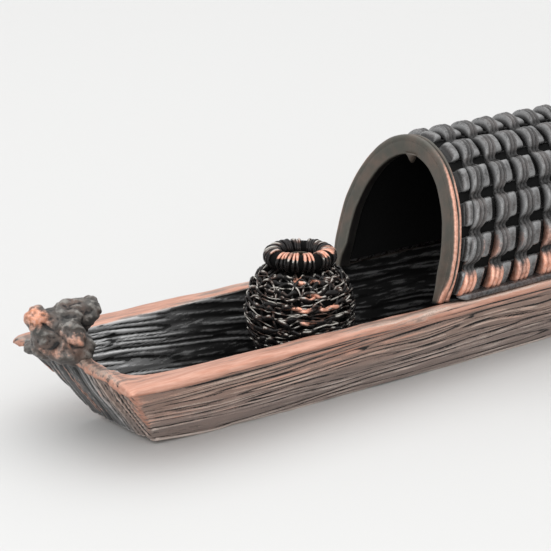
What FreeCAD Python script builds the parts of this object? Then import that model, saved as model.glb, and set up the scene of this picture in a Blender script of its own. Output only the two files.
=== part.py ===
import FreeCAD, Part
import Sketcher
import os
from math import asin, cos, degrees, pi, radians, sin, tan

# A cast punt with a woven barrel canopy and a fish basket that holds an incense stick.
# Frame: +X runs from bow to stern, +Y to port, +Z up, and the flat bottom lies on Z = 0.
# X = 0 is the middle of the whole length, prow knot included. Millimetres throughout.

doc = FreeCAD.newDocument("punt_incense_burner")
V = FreeCAD.Vector
Rotation = FreeCAD.Rotation
Placement = FreeCAD.Placement

DRIVING_SIZES = {
    # hull
    "hull_length": 221.8,
    "hull_rise": 14.6,
    "transom_rake": 10.2,
    "rocker": 1.1,
    "beam_ends": 36.0,
    "beam_decks": 37.0,
    "beam_waist": 34.8,
    "bottom_ends": 16.4,
    "bottom_width": 19.6,
    "deck_station": 24.0,
    "floor_thick": 2.2,
    "gunwale_decks": 4.4,
    "gunwale_waist": 2.9,
    "transom_wall": 3.4,
    "wall_at_floor": 1.9,
    "bow_corner": 2.5,
    # prow knot
    "knot_reach": 8.0,
    # canopy arch, a half ellipse on short upright feet
    "canopy_length": 84.6,
    "arch_half": 16.0,
    "arch_rise": 21.0,
    "arch_centre": 20.5,
    "end_lean": 12.0,
    "hoop_lean": 20.0,
    "seat_gap": 0.05,
    "rim_thick": 2.2,
    "rim_face": 3.5,
    "hoop_count": 12,
    "hoop_pitch": 6.85,
    "hoop_width": 3.0,
    "hoop_thick": 0.8,
    "hoop_proud": 0.4,
    "strip_count": 11,
    "strip_pitch": 6.0,
    "strip_width": 4.4,
    "strip_thick": 0.9,
    "shell_thick": 1.6,
    "rail_height": 1.25,
    "rail_width": 2.6,
    "rail_inset": 3.4,
    "pin_radius": 0.5,
    "pin_depth": 2.0,
    "pin_seat": 0.8,
    "pin_centre": 15.5,
    "pin_inset": 7.0,
    "running_gap": 0.05,
    # lantern eyelet
    "eyelet_width": 3.0,
    "eyelet_drop": 1.9,
    "eyelet_root": 0.4,
    "eyelet_thick": 1.3,
    # fish basket
    "basket_from_bow": 48.6,
    "basket_top": 25.5,
    "basket_foot_radius": 5.2,
    "basket_belly_radius": 9.4,
    "basket_belly_height": 13.6,
    "basket_neck_radius": 4.9,
    "basket_neck_height": 21.9,
    "collar_radius": 6.5,
    "collar_height": 3.5,
    "collar_mouth": 2.9,
    "ferrule_radius": 1.8,
    "stick_hole": 1.15,
    "ferrule_length": 12.0,
    "ferrule_top": 24.0,
    "weaver_count": 8,
    "weaver_radius": 0.5,
    "weaver_low": 4.4,
    "weaver_pitch": 2.3,
    "plug_thick": 1.0,
    "peg_radius": 1.5,
    "peg_depth": 1.5,
}

sizes = doc.addObject("Spreadsheet::Sheet", "sizes")
for row, (alias, value) in enumerate(DRIVING_SIZES.items(), start=1):
    sizes.set("A%d" % row, alias)
    sizes.set("B%d" % row, str(value))
    sizes.setAlias("B%d" % row, alias)
doc.recompute()


def size(alias):
    """A driving dimension, read back from the sheet."""
    return float(sizes.get(alias))


def bind(thing, **formulas):
    """Ties properties of a document object to formulas over the sheet; a double underscore is a dot."""
    for name, formula in formulas.items():
        thing.setExpression(name.replace("__", "."), formula)
    return thing


def in_sheet(formula):
    """A formula with each alias written as the sheet's own cell."""
    words = formula.split()
    return " ".join("sizes." + word if word in DRIVING_SIZES else word for word in words)


def part(kind, name, **formulas):
    """A document object of the given kind with its sizes tied to the sheet."""
    thing = doc.addObject(kind, name)
    thing.Label = name
    return bind(thing, **{key: in_sheet(formula) for key, formula in formulas.items()})


def boolean(kind, name, base, tool):
    thing = doc.addObject(kind, name)
    thing.Label = name
    thing.Base = base
    thing.Tool = tool
    return thing


def joined(kind, name, members):
    thing = doc.addObject(kind, name)
    thing.Label = name
    thing.Shapes = members
    return thing


finished = []


def finish(thing, label):
    """Marks a sub-part as finished under the name of its node."""
    thing.Label = label
    finished.append(thing)
    return thing


# ---------------------------------------------------------------- places along the boat
HULL_CENTRE = size("knot_reach") / 2
CANOPY_FRONT = HULL_CENTRE - size("canopy_length") / 2
HULL_TOP = size("hull_rise")
CENTRE_FORMULA = "knot_reach / 2"


# ---------------------------------------------------------------- hull
def hull_section(from_centre, lean_out, half_low, half_high, low, high):
    """A four-cornered section across the hull, its top edge leaning out along X by lean_out."""
    low_x = HULL_CENTRE + from_centre
    high_x = low_x + lean_out
    corners = [
        V(low_x, -half_low, low),
        V(low_x, half_low, low),
        V(high_x, half_high, high),
        V(high_x, -half_high, high),
    ]
    return Part.makePolygon(corners + corners[:1])


def mirrored_loft(half_sections):
    """A straight-sided loft through sections given from the waist to one end, mirrored to the other."""
    wires = []
    for station, lean, half_low, half_high, low, high in reversed(half_sections):
        wires.append(hull_section(-station, -lean, half_low, half_high, low, high))
    for station, lean, half_low, half_high, low, high in half_sections:
        wires.append(hull_section(station, lean, half_low, half_high, low, high))
    return Part.makeLoft(wires, True, True)


def hull_outside():
    half = size("hull_length") / 2
    rake = size("transom_rake")
    waist = size("canopy_length") / 2
    decks = half - size("deck_station")
    sections = [
        (waist, 0, size("bottom_width") / 2, size("beam_waist") / 2, 0, HULL_TOP),
        (decks, 0, size("bottom_width") / 2, size("beam_decks") / 2, 0, HULL_TOP),
        (half - rake, rake, size("bottom_ends") / 2, size("beam_ends") / 2, size("rocker"), HULL_TOP),
    ]
    return mirrored_loft(sections)


def hull_well():
    """The open well: it starts on the floor and runs out through the top of the hull."""
    half = size("hull_length") / 2
    slope = size("transom_rake") / (HULL_TOP - size("rocker"))
    floor = size("floor_thick")
    over = 1.0
    top = HULL_TOP + over
    waist = size("canopy_length") / 2
    decks = half - size("deck_station")
    side_wall = size("wall_at_floor")

    def halves(bottom, beam, gunwale):
        """Half widths of the well on the floor and above the gunwale, on one straight wall line."""
        flare = (beam - bottom) / 2 / HULL_TOP
        on_floor = bottom / 2 + flare * floor - side_wall
        at_top = beam / 2 - gunwale
        return on_floor, at_top + (at_top - on_floor) / (HULL_TOP - floor) * over

    end_at_floor = half - size("transom_wall") - slope * (HULL_TOP - floor)
    sections = []
    for station, lean, bottom, beam, gunwale in (
        (waist, 0, "bottom_width", "beam_waist", "gunwale_waist"),
        (decks, 0, "bottom_width", "beam_decks", "gunwale_decks"),
        (end_at_floor, slope * (top - floor), "bottom_ends", "beam_ends", "gunwale_decks"),
    ):
        on_floor, at_top = halves(size(bottom), size(beam), size(gunwale))
        sections.append((station, lean, on_floor, at_top, floor, top))
    return mirrored_loft(sections)


def corner_edges(shape):
    """The four slanting corner edges between the transoms and the sides."""
    reach = size("hull_length") / 2 - size("transom_rake") - 1.0
    corners = []
    for edge in shape.Edges:
        ends = [vertex.Point for vertex in edge.Vertexes]
        slanting = abs(ends[0].z - ends[-1].z) > HULL_TOP / 2
        if slanting and abs(ends[0].x - HULL_CENTRE) > reach:
            corners.append(edge)
    return corners


def make_hull():
    outside = hull_outside()
    body = doc.addObject("Part::Feature", "hull_casting")
    body.Shape = outside.makeFillet(size("bow_corner"), corner_edges(outside))
    body.Placement = Placement()
    well = doc.addObject("Part::Feature", "hull_hollow")
    well.Shape = hull_well()
    well.Placement = Placement()
    open_hull = boolean("Part::Cut", "open_hull", body, well)
    holes = [canopy_pin("gunwale_hole", "pin_radius + running_gap", "pin_depth + running_gap * 4", end, side)
             for end in (-1, 1) for side in (-1, 1)]
    holes.append(part(
        "Part::Cylinder", "basket_socket",
        Radius="peg_radius + running_gap",
        Height="peg_depth + running_gap * 4 + 1",
        Placement__Base__x="knot_reach / 2 - hull_length / 2 + basket_from_bow",
        Placement__Base__z="floor_thick - peg_depth - running_gap * 4",
    ))
    drillings = joined("Part::MultiFuse", "hull_drillings", holes)
    return body, finish(boolean("Part::Cut", "hull_drilled", open_hull, drillings), "hull")


def canopy_pin(name, radius, depth, end, side, seat="1"):
    """An upright cylinder at one of the four places where the canopy is located on the gunwale."""
    reach = "( canopy_length / 2 - pin_inset )"
    return part(
        "Part::Cylinder", name,
        Radius=radius,
        Height=depth + " + " + seat,
        Placement__Base__x="knot_reach / 2 + %d * %s" % (end, reach),
        Placement__Base__y="%d * pin_centre" % side,
        Placement__Base__z="hull_rise - ( %s )" % depth,
    )


# ---------------------------------------------------------------- prow knot
def make_prow_knot(hull_body):
    """A gnarled burl of rounded lumps that grips the middle of the bow's top edge."""
    # Each lump: behind the foremost point, to port, above the gunwale, then its three half sizes.
    lumps = [
        ("burl_root", 8.6, 0.0, 2.6, 6.2, 6.4, 5.6),
        ("burl_back", 9.4, 0.4, 7.3, 6.3, 3.3, 3.6),
        ("burl_crest", 12.4, 0.6, 8.2, 2.7, 2.6, 2.6),
        ("burl_eye", 2.5, 1.0, 8.4, 2.5, 2.6, 2.6),
        ("burl_bud", 6.2, -3.4, 6.2, 2.3, 2.1, 2.2),
        ("burl_lip", 4.6, -2.6, 3.9, 3.4, 3.0, 2.6),
    ]
    members = []
    for name, behind, port, above, along, across, upward in lumps:
        lump = part(
            "Part::Ellipsoid", name,
            Placement__Base__x="- hull_length / 2 - knot_reach / 2 + %s" % behind,
            Placement__Base__z="hull_rise + %s" % above,
        )
        lump.Placement.Base.y = port
        lump.Radius1 = upward
        lump.Radius2 = along
        lump.Radius3 = across
        lump.Angle1 = -90
        lump.Angle2 = 90
        members.append(lump)
    burl = joined("Part::MultiFuse", "burl", members)
    finish(boolean("Part::Cut", "burl_on_bow", burl, hull_body), "prow_knot")


# ---------------------------------------------------------------- canopy
ARCH_TURN = Rotation(V(0, 1, 0), -90)


def arch_cylinder(name, inset):
    """A solid elliptical cylinder along X, inset from the arch's outer line by the given formula."""
    outline = part(
        "Part::Ellipse", name + "_line",
        MajorRadius="arch_rise - ( %s )" % inset,
        MinorRadius="arch_half - ( %s )" % inset,
        Placement__Base__x=CENTRE_FORMULA,
        Placement__Base__z="arch_centre",
    )
    outline.Placement.Rotation = ARCH_TURN
    solid = part("Part::Extrusion", name, LengthFwd="canopy_length", LengthRev="canopy_length")
    solid.Base = outline
    solid.DirMode = "Normal"
    solid.Solid = True
    return solid


def arch_tube(name, outer_inset, inner_inset):
    outer = arch_cylinder(name + "_outer", outer_inset)
    inner = arch_cylinder(name + "_inner", inner_inset)
    return boolean("Part::Cut", name, outer, inner)


def side_view(name, foot, pull_in="0"):
    """A block with the canopy's side view: both ends lean in towards the ridge."""
    height = "( arch_rise * 2 )"
    reach = "canopy_length / 2 - ( %s )" % pull_in
    block = part(
        "Part::Wedge", name,
        Xmin="- ( %s )" % reach,
        Xmax=reach,
        X2min="- ( %s ) + %s * tan( end_lean )" % (reach, height),
        X2max="%s - %s * tan( end_lean )" % (reach, height),
        Ymin="0",
        Ymax=height,
        Zmin="- beam_decks",
        Zmax="beam_decks",
        Z2min="- beam_decks",
        Z2max="beam_decks",
        Placement__Base__x=CENTRE_FORMULA,
        Placement__Base__z="hull_rise + " + foot,
    )
    block.Placement.Rotation = Rotation(V(1, 0, 0), 90)
    return block


def lean_at(offset):
    """How far a hoop leans, in degrees about +Y: full at the two ends, none amidships."""
    return -size("hoop_lean") * offset / (size("canopy_length") / 2)


def leaning_slab(name, offset, thick):
    """A slab across the boat, leaning as the canopy does at that distance from its middle."""
    slab = part("Part::Box", name, Length=thick, Width="beam_decks", Height="arch_rise * 2")
    turn = Rotation(V(0, 1, 0), lean_at(offset))
    corner = turn.multVec(V(-size(thick) / 2, -size("beam_decks") / 2, 0))
    slab.Placement = Placement(V(HULL_CENTRE + offset, 0, HULL_TOP) + corner, turn)
    return slab


def make_canopy():
    foot = "seat_gap + rail_height"
    skin = "hoop_thick - hoop_proud"
    rim_back = "rim_thick / cos( end_lean )"
    mat_view = side_view("mat_side_view", foot, "%s + ( %s ) * tan( end_lean )" % (rim_back, foot))
    rim_view = side_view("rim_side_view", "seat_gap", "seat_gap * tan( end_lean )")

    shell_tube = arch_tube("shell_tube", skin + " + strip_thick", skin + " + strip_thick + shell_thick")
    finish(boolean("Part::Common", "shell", shell_tube, mat_view), "canopy_shell")

    rim_tube = arch_tube("rim_tube", "0", "rim_face")
    rim_block = boolean("Part::Common", "rim_block", rim_tube, rim_view)
    inner_view = side_view("rim_inner_view", "0", rim_back)
    both_rims = boolean("Part::Cut", "both_rims", rim_block, inner_view)
    for end, label in ((-1, "front_rim"), (1, "rear_rim")):
        half_space = part(
            "Part::Box", label + "_side",
            Length="canopy_length",
            Width="beam_decks * 2",
            Height="arch_centre + arch_rise * 2",
            Placement__Base__x="knot_reach / 2" + (" - canopy_length" if end < 0 else " + 0"),
            Placement__Base__y="- beam_decks",
        )
        finish(boolean("Part::Common", label + "_arch", both_rims, half_space), label)
    make_eyelet([thing for thing in finished if thing.Label == "front_rim"][0])

    strip_tube = arch_tube("strip_tube", skin, skin + " + strip_thick")
    strip_block = boolean("Part::Common", "strip_block", strip_tube, mat_view)
    make_strips(strip_block)

    hoop_tube = arch_tube("hoop_tube", "- hoop_proud", skin)
    hoop_block = boolean("Part::Common", "hoop_block", hoop_tube, mat_view)
    count = int(size("hoop_count"))
    for number in range(count):
        offset = (number - (count - 1) / 2) * size("hoop_pitch")
        slab = leaning_slab("hoop_slab_%02d" % (number + 1), offset, "hoop_width")
        hoop = boolean("Part::Common", "hoop_%02d" % (number + 1), hoop_block, slab)
        finish(hoop, "canopy_hoop_%02d" % (number + 1))

    make_rails_and_pins()


def arch_point(angle, inset):
    """A point of the inset arch line and its outward normal, by the ellipse's own angle from the ridge."""
    half = size("arch_half") - inset
    rise = size("arch_rise") - inset
    point = V(0, half * sin(angle), size("arch_centre") + rise * cos(angle))
    normal = V(0, sin(angle) / half, cos(angle) / rise).normalize()
    return point, normal


def angle_at_length(length, inset):
    """The ellipse's angle at a given distance along the arch line from the ridge."""
    step = 0.002
    angle = 0.0
    travelled = 0.0
    here, _ = arch_point(angle, inset)
    while travelled + step < length:
        before = here
        angle += step
        here, _ = arch_point(angle, inset)
        travelled += (here - before).Length
    return angle


def make_strips(strip_block):
    """The strips that run fore and aft, evenly spaced round the arch from the ridge."""
    inset = size("hoop_thick") - size("hoop_proud") + size("strip_thick") / 2
    count = int(size("strip_count"))
    for number in range(count):
        along = (number - (count - 1) / 2) * size("strip_pitch")
        angle = angle_at_length(abs(along), inset)
        if along < 0:
            angle = -angle
        point, normal = arch_point(angle, inset)
        bar = part(
            "Part::Box", "strip_bar_%02d" % (number + 1),
            Length="canopy_length",
            Width="strip_width",
            Height="strip_thick * 3",
        )
        turn = Rotation(V(1, 0, 0), -degrees(asin(normal.y)))
        corner = turn.multVec(V(0, -size("strip_width") / 2, -size("strip_thick") * 1.5))
        bar.Placement = Placement(point + corner + V(CANOPY_FRONT, 0, 0), turn)
        strip = boolean("Part::Common", "strip_%02d" % (number + 1), strip_block, bar)
        finish(strip, "canopy_strip_%02d" % (number + 1))


def make_rails_and_pins():
    """The two rails that the canopy stands on, and the four dowels that locate it on the gunwale."""
    pins = []
    for side, label in ((-1, "foot_rail_starboard"), (1, "foot_rail_port")):
        seats = [canopy_pin("rail_seat", "pin_radius", "pin_depth", end, side, "seat_gap + pin_seat")
                 for end in (-1, 1)]
        pins += [canopy_pin("pin", "pin_radius", "pin_depth", end, side, "seat_gap + pin_seat")
                 for end in (-1, 1)]
        beam = part(
            "Part::Box", label + "_bar",
            Length="canopy_length - 2 * rail_inset",
            Width="rail_width",
            Height="rail_height",
            Placement__Base__x="knot_reach / 2 - canopy_length / 2 + rail_inset",
            Placement__Base__y="%d * pin_centre - rail_width / 2" % side,
            Placement__Base__z="hull_rise + seat_gap",
        )
        seat_group = joined("Part::MultiFuse", label + "_seats", seats)
        finish(boolean("Part::Cut", label + "_drilled", beam, seat_group), label)
    dowels = doc.addObject("Part::Compound", "dowels")
    dowels.Links = pins
    finish(dowels, "locating_dowels")


def plane_of(body, role):
    """One of a body's own origin planes."""
    return [feature for feature in body.Origin.OriginFeatures if feature.Role == role][0]


def sketch_on(body, role, name):
    sketch = body.newObject("Sketcher::SketchObject", name)
    sketch.AttachmentSupport = [(plane_of(body, role), "")]
    sketch.MapMode = "FlatFace"
    return sketch


def make_eyelet(rim):
    """The small tab that hangs inside the crown of the front rim, where a lantern would hang."""
    body = doc.addObject("PartDesign::Body", "eyelet_body")
    sketch = sketch_on(body, "YZ_Plane", "eyelet_outline")
    half = size("eyelet_width") / 2
    drop = size("eyelet_drop")
    left = sketch.addGeometry(Part.LineSegment(V(-half, 0, 0), V(half, 0, 0)))
    right = sketch.addGeometry(Part.LineSegment(V(half, 0, 0), V(0, -drop, 0)))
    close = sketch.addGeometry(Part.LineSegment(V(0, -drop, 0), V(-half, 0, 0)))
    for first, second in ((left, right), (right, close), (close, left)):
        sketch.addConstraint(Sketcher.Constraint("Coincident", first, 2, second, 1))
    sketch.addConstraint(Sketcher.Constraint("Horizontal", left))
    sketch.addConstraint(Sketcher.Constraint("Symmetric", left, 1, left, 2, -1, 1))
    width = sketch.addConstraint(Sketcher.Constraint("DistanceX", left, 1, left, 2, 2 * half))
    height = sketch.addConstraint(Sketcher.Constraint("DistanceY", right, 2, -1, 1, drop))
    sketch.setExpression("Constraints[%d]" % width, "sizes.eyelet_width")
    sketch.setExpression("Constraints[%d]" % height, "sizes.eyelet_drop")
    pad = body.newObject("PartDesign::Pad", "eyelet_pad")
    pad.Profile = sketch
    pad.setExpression("Length", "sizes.eyelet_thick")
    doc.recompute()
    crown_foot = size("arch_centre") + size("arch_rise") - size("rim_face")
    lean_in = (crown_foot - HULL_TOP) * tan(radians(size("end_lean")))
    turn = Rotation(V(0, 1, 0), size("end_lean"))
    set_back = (size("rim_thick") - size("eyelet_thick")) / 2
    # The tab starts inside the rim and is trimmed to it, so that the two meet face to face.
    rooted = crown_foot + size("eyelet_root")
    body.Placement = Placement(V(CANOPY_FRONT + lean_in + set_back, 0, rooted), turn)
    finish(boolean("Part::Cut", "eyelet_on_rim", body, rim), "lantern_eyelet")


# ---------------------------------------------------------------- fish basket
def revolve(name, outline):
    """A PartDesign body turned from a closed outline in the XZ plane; outline makes the geometry."""
    body = doc.addObject("PartDesign::Body", name + "_body")
    sketch = sketch_on(body, "XZ_Plane", name + "_outline")
    outline(sketch)
    turned = body.newObject("PartDesign::Revolution", name + "_turned")
    turned.Profile = sketch
    turned.ReferenceAxis = (sketch, ["V_Axis"])
    turned.Angle = 360
    body.setExpression("Placement.Base.x", in_sheet("knot_reach / 2 - hull_length / 2 + basket_from_bow"))
    return body


def closed_outline(sketch, points, bound):
    """A closed polygon whose corners are held by distances from the origin; bound gives two formulas each."""
    lines = []
    for start, end in zip(points, points[1:] + points[:1]):
        lines.append(sketch.addGeometry(Part.LineSegment(V(*start, 0), V(*end, 0))))
    for first, second in zip(lines, lines[1:] + lines[:1]):
        sketch.addConstraint(Sketcher.Constraint("Coincident", first, 2, second, 1))
    for line, point, formulas in zip(lines, points, bound):
        for kind, value, formula in zip(("DistanceX", "DistanceY"), point, formulas):
            if value == 0:
                # A corner on an axis is held there by the constraint, not by a distance of nothing.
                axis = -2 if kind == "DistanceX" else -1
                sketch.addConstraint(Sketcher.Constraint("PointOnObject", line, 1, axis))
                continue
            index = sketch.addConstraint(Sketcher.Constraint(kind, -1, 1, line, 1, value))
            sketch.setExpression("Constraints[%d]" % index, in_sheet(formula))


def basket_profile():
    """Corners of the basket's outer line from foot to neck, as (radius, height) formulas."""
    belly = "basket_belly_radius"
    middle = "basket_belly_height"
    neck = "basket_neck_height"
    return [
        ("basket_foot_radius", "floor_thick + seat_gap + plug_thick"),
        (belly + " - 2.3", middle + " - 7.4"),
        (belly + " - 0.6", middle + " - 3.4"),
        (belly, middle),
        (belly + " - 0.2", middle + " + 2"),
        (belly + " - 0.9", middle + " + 5"),
        (belly + " - 2.4", middle + " + 7.2"),
        ("basket_neck_radius", neck),
    ]


def formula_value(formula):
    """The number a plain sum of aliases and constants comes to."""
    total = 0.0
    sign = 1.0
    for word in formula.split():
        if word in "+-":
            sign = -1.0 if word == "-" else 1.0
        else:
            total += sign * (size(word) if word in DRIVING_SIZES else float(word))
    return total


def profile_radius(height):
    """The basket's outer radius at a height, along its profile."""
    corners = [(formula_value(radius), formula_value(level)) for radius, level in basket_profile()]
    for (low_r, low), (high_r, high) in zip(corners, corners[1:]):
        if low <= height <= high:
            return low_r + (high_r - low_r) * (height - low) / (high - low)
    return corners[-1][0]


def make_basket():
    neck = "basket_neck_height"
    corners = basket_profile()
    inner = [
        ("ferrule_radius", neck),
        ("ferrule_radius", "ferrule_top - ferrule_length"),
        ("0", "ferrule_top - ferrule_length"),
        ("0", "floor_thick + seat_gap + plug_thick"),
    ]
    formulas = corners + inner
    points = [tuple(formula_value(word) for word in pair) for pair in formulas]
    finish(revolve("basket", lambda sketch: closed_outline(sketch, points, formulas)), "basket_body")

    make_collar()
    make_ferrule()
    make_foot_plug()
    for number in range(int(size("weaver_count"))):
        make_weaver(number)


def make_collar():
    """The lashed collar: a fat round ring that leaves the basket's mouth open."""
    def outline(sketch):
        outer = size("collar_radius")
        inner = size("collar_mouth")
        middle = (outer + inner) / 2
        half_high = size("collar_height") / 2
        top = size("basket_top")
        shoulder = (outer - inner) / 2
        reach = shoulder - half_high
        low = top - 2 * half_high
        centre = top - half_high
        right = Part.ArcOfCircle(Part.Circle(V(middle + reach, centre, 0), V(0, 0, 1), half_high),
                                 -pi / 2, pi / 2)
        left = Part.ArcOfCircle(Part.Circle(V(middle - reach, centre, 0), V(0, 0, 1), half_high),
                                pi / 2, 3 * pi / 2)
        crest = Part.LineSegment(V(middle + reach, top, 0), V(middle - reach, top, 0))
        under = Part.LineSegment(V(middle - reach, low, 0), V(middle + reach, low, 0))
        arc_out, arc_in, over, base = [sketch.addGeometry(edge) for edge in (right, left, crest, under)]
        for first, second in ((arc_out, over), (over, arc_in), (arc_in, base), (base, arc_out)):
            sketch.addConstraint(Sketcher.Constraint("Tangent", first, 2, second, 1))
        sketch.addConstraint(Sketcher.Constraint("Horizontal", over))
        held = [
            ("Radius", (arc_out,), half_high, "collar_height / 2"),
            ("DistanceY", (-1, 1, arc_out, 3), centre, "basket_top - collar_height / 2"),
            ("DistanceX", (-1, 1, arc_out, 3), middle + reach, "collar_radius - collar_height / 2"),
            ("DistanceX", (-1, 1, arc_in, 3), middle - reach, "collar_mouth + collar_height / 2"),
        ]
        for kind, where, value, formula in held:
            index = sketch.addConstraint(Sketcher.Constraint(kind, *where, value))
            sketch.setExpression("Constraints[%d]" % index, in_sheet(formula))

    finish(revolve("collar", outline), "basket_collar")


def make_ferrule():
    """The brass tube inside the collar that the stick stands in, and the blind end it stands on."""
    formulas = [
        ("ferrule_radius", "ferrule_top - ferrule_length"),
        ("ferrule_radius", "ferrule_top"),
        ("stick_hole", "ferrule_top"),
        ("stick_hole", "ferrule_top - ferrule_length + 1"),
        ("0", "ferrule_top - ferrule_length + 1"),
        ("0", "ferrule_top - ferrule_length"),
    ]
    points = [tuple(formula_value(word) for word in pair) for pair in formulas]
    finish(revolve("ferrule", lambda sketch: closed_outline(sketch, points, formulas)), "incense_ferrule")


def make_foot_plug():
    """The plug that closes the basket's foot, with the peg that drops into the hull's floor."""
    formulas = [
        ("peg_radius", "floor_thick - peg_depth"),
        ("peg_radius", "floor_thick + seat_gap"),
        ("basket_foot_radius", "floor_thick + seat_gap"),
        ("basket_foot_radius", "floor_thick + seat_gap + plug_thick"),
        ("0", "floor_thick + seat_gap + plug_thick"),
        ("0", "floor_thick - peg_depth"),
    ]
    points = [tuple(formula_value(word) for word in pair) for pair in formulas]
    finish(revolve("plug", lambda sketch: closed_outline(sketch, points, formulas)), "basket_foot_plug")


def make_weaver(number):
    """One row of weaving: a round strand that hugs the basket's side."""
    level = size("weaver_low") + number * size("weaver_pitch")
    name = "weaver_%02d" % (number + 1)
    ring = part(
        "Part::Torus", name,
        Radius2="weaver_radius",
        Placement__Base__x="knot_reach / 2 - hull_length / 2 + basket_from_bow",
        Placement__Base__z="weaver_low + %d * weaver_pitch" % number,
    )
    reach = size("weaver_radius") * 0.3
    samples = [profile_radius(level + step * size("weaver_radius") / 4) for step in range(-4, 5)]
    ring.Radius1 = max(samples) + reach
    finish(ring, "basket_weaver_%02d" % (number + 1))


# ---------------------------------------------------------------- build, check and write
hull_body, _ = make_hull()
make_prow_knot(hull_body)
make_canopy()
make_basket()
doc.recompute()

for thing in doc.Objects:
    bad = [state for state in thing.State if state in ("Invalid", "Error")]
    if bad:
        raise RuntimeError("%s is %s" % (thing.Label, bad))

os.makedirs("parts", exist_ok=True)
for thing in finished:
    shape = thing.Shape
    if shape.isNull() or not shape.isValid() or shape.Volume <= 0:
        raise RuntimeError("%s has no valid solid" % thing.Label)

whole = Part.makeCompound([thing.Shape for thing in finished]).optimalBoundingBox(False)
print("overall box", [round(v, 2) for v in (whole.XMin, whole.XMax, whole.YMin, whole.YMax,
                                            whole.ZMin, whole.ZMax)])
for thing in finished:
    print("%-24s %9.2f mm3" % (thing.Label, thing.Shape.Volume))
    thing.Shape.exportStep("parts/%s.step" % thing.Label)
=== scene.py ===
from math import acos, cos, pi, radians, sin, tan

import bmesh
import bpy
import numpy as np
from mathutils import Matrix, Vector


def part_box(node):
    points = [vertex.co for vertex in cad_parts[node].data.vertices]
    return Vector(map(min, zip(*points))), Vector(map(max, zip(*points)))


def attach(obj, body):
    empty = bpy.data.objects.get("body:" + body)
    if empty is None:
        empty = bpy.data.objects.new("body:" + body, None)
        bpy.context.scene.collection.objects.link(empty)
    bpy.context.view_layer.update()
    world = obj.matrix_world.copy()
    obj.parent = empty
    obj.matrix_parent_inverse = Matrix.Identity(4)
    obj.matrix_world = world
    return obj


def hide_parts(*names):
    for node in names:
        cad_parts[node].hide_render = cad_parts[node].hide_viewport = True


# A cast punt with a woven barrel canopy and a fish basket that holds an incense stick.
# Lengths below are millimetres unless a name says otherwise; meshes are made in metres.

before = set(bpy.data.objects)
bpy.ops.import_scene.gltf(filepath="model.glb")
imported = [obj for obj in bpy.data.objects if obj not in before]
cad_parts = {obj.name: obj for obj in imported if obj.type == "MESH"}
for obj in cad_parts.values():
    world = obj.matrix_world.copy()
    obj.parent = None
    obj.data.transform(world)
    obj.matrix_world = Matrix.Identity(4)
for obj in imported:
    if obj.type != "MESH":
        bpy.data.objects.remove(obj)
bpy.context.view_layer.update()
METRES = 0.001


# ---------------------------------------------------------------- places, from the frame
def node_box(node):
    """Lowest and highest corner of a CAD node, in millimetres."""
    low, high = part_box(node)
    return np.array(low) / METRES, np.array(high) / METRES


HULL_LOW, HULL_HIGH = node_box("hull")
HULL_CENTRE = (HULL_LOW[0] + HULL_HIGH[0]) / 2
HULL_HALF = (HULL_HIGH[0] - HULL_LOW[0]) / 2
GUNWALE_TOP = HULL_HIGH[2]
RIM_LOW, RIM_HIGH = node_box("front_rim")
CANOPY_HALF = (node_box("rear_rim")[1][0] - RIM_LOW[0]) / 2
ARCH_HALF = RIM_HIGH[1]
ARCH_RISE = 21.0
ARCH_CENTRE = RIM_HIGH[2] - ARCH_RISE
END_LEAN = tan(radians(12.0))
HOOP_FAN = tan(radians(20.0)) / CANOPY_HALF
MAT_INSET = 1.3
HOOP_COUNT = 12
HOOP_PITCH = 6.85
FIRST_HOOP = -(HOOP_COUNT - 1) / 2 * HOOP_PITCH
ROW_COUNT = 11
ROW_PITCH = 6.0
FIRST_ROW = -(ROW_COUNT - 1) / 2 * ROW_PITCH
RAIL_TOP = node_box("foot_rail_port")[1][2]
COLLAR_LOW, COLLAR_HIGH = node_box("basket_collar")
BASKET_X = (COLLAR_LOW[0] + COLLAR_HIGH[0]) / 2
KNOT_BOW = node_box("prow_knot")[0][0]


# ---------------------------------------------------------------- numbers
def ease(value, low, high):
    """0 below low, 1 above high, smooth between."""
    t = np.clip((np.asarray(value, float) - low) / (high - low), 0, 1)
    return t * t * (3 - 2 * t)


def mix(a, b, share):
    return a + (b - a) * share


def full_turn(count):
    """Angles evenly spaced round a circle."""
    return np.linspace(0, 2 * pi, count, endpoint=False)


def field(u, v, seed):
    """A smooth random field from 0 to 1 over the plane, one cell for each unit of u and v."""
    table = np.random.default_rng(seed).random((256, 256))
    u, v = np.broadcast_arrays(np.asarray(u, float), np.asarray(v, float))
    cell_u, cell_v = np.floor(u).astype(int), np.floor(v).astype(int)
    part_u, part_v = u - cell_u, v - cell_v
    part_u = part_u * part_u * (3 - 2 * part_u)
    part_v = part_v * part_v * (3 - 2 * part_v)
    near_u, far_u = cell_u % 256, (cell_u + 1) % 256
    near_v, far_v = cell_v % 256, (cell_v + 1) % 256
    low = mix(table[near_u, near_v], table[far_u, near_v], part_u)
    high = mix(table[near_u, far_v], table[far_u, far_v], part_u)
    return mix(low, high, part_v)


def rough_field(u, v, seed, octaves=3):
    """Several fields on top of each other, each twice as fine and half as strong."""
    total, weight = 0.0, 0.0
    for octave in range(octaves):
        share = 0.5 ** octave
        total = total + share * field(u * 2 ** octave, v * 2 ** octave, seed + octave)
        weight += share
    return total / weight


def furrow(u, v, seed, sharp):
    """Thin winding lines, 1 on the line and 0 between."""
    return (1 - np.abs(2 * field(u, v, seed) - 1)) ** sharp


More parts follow.
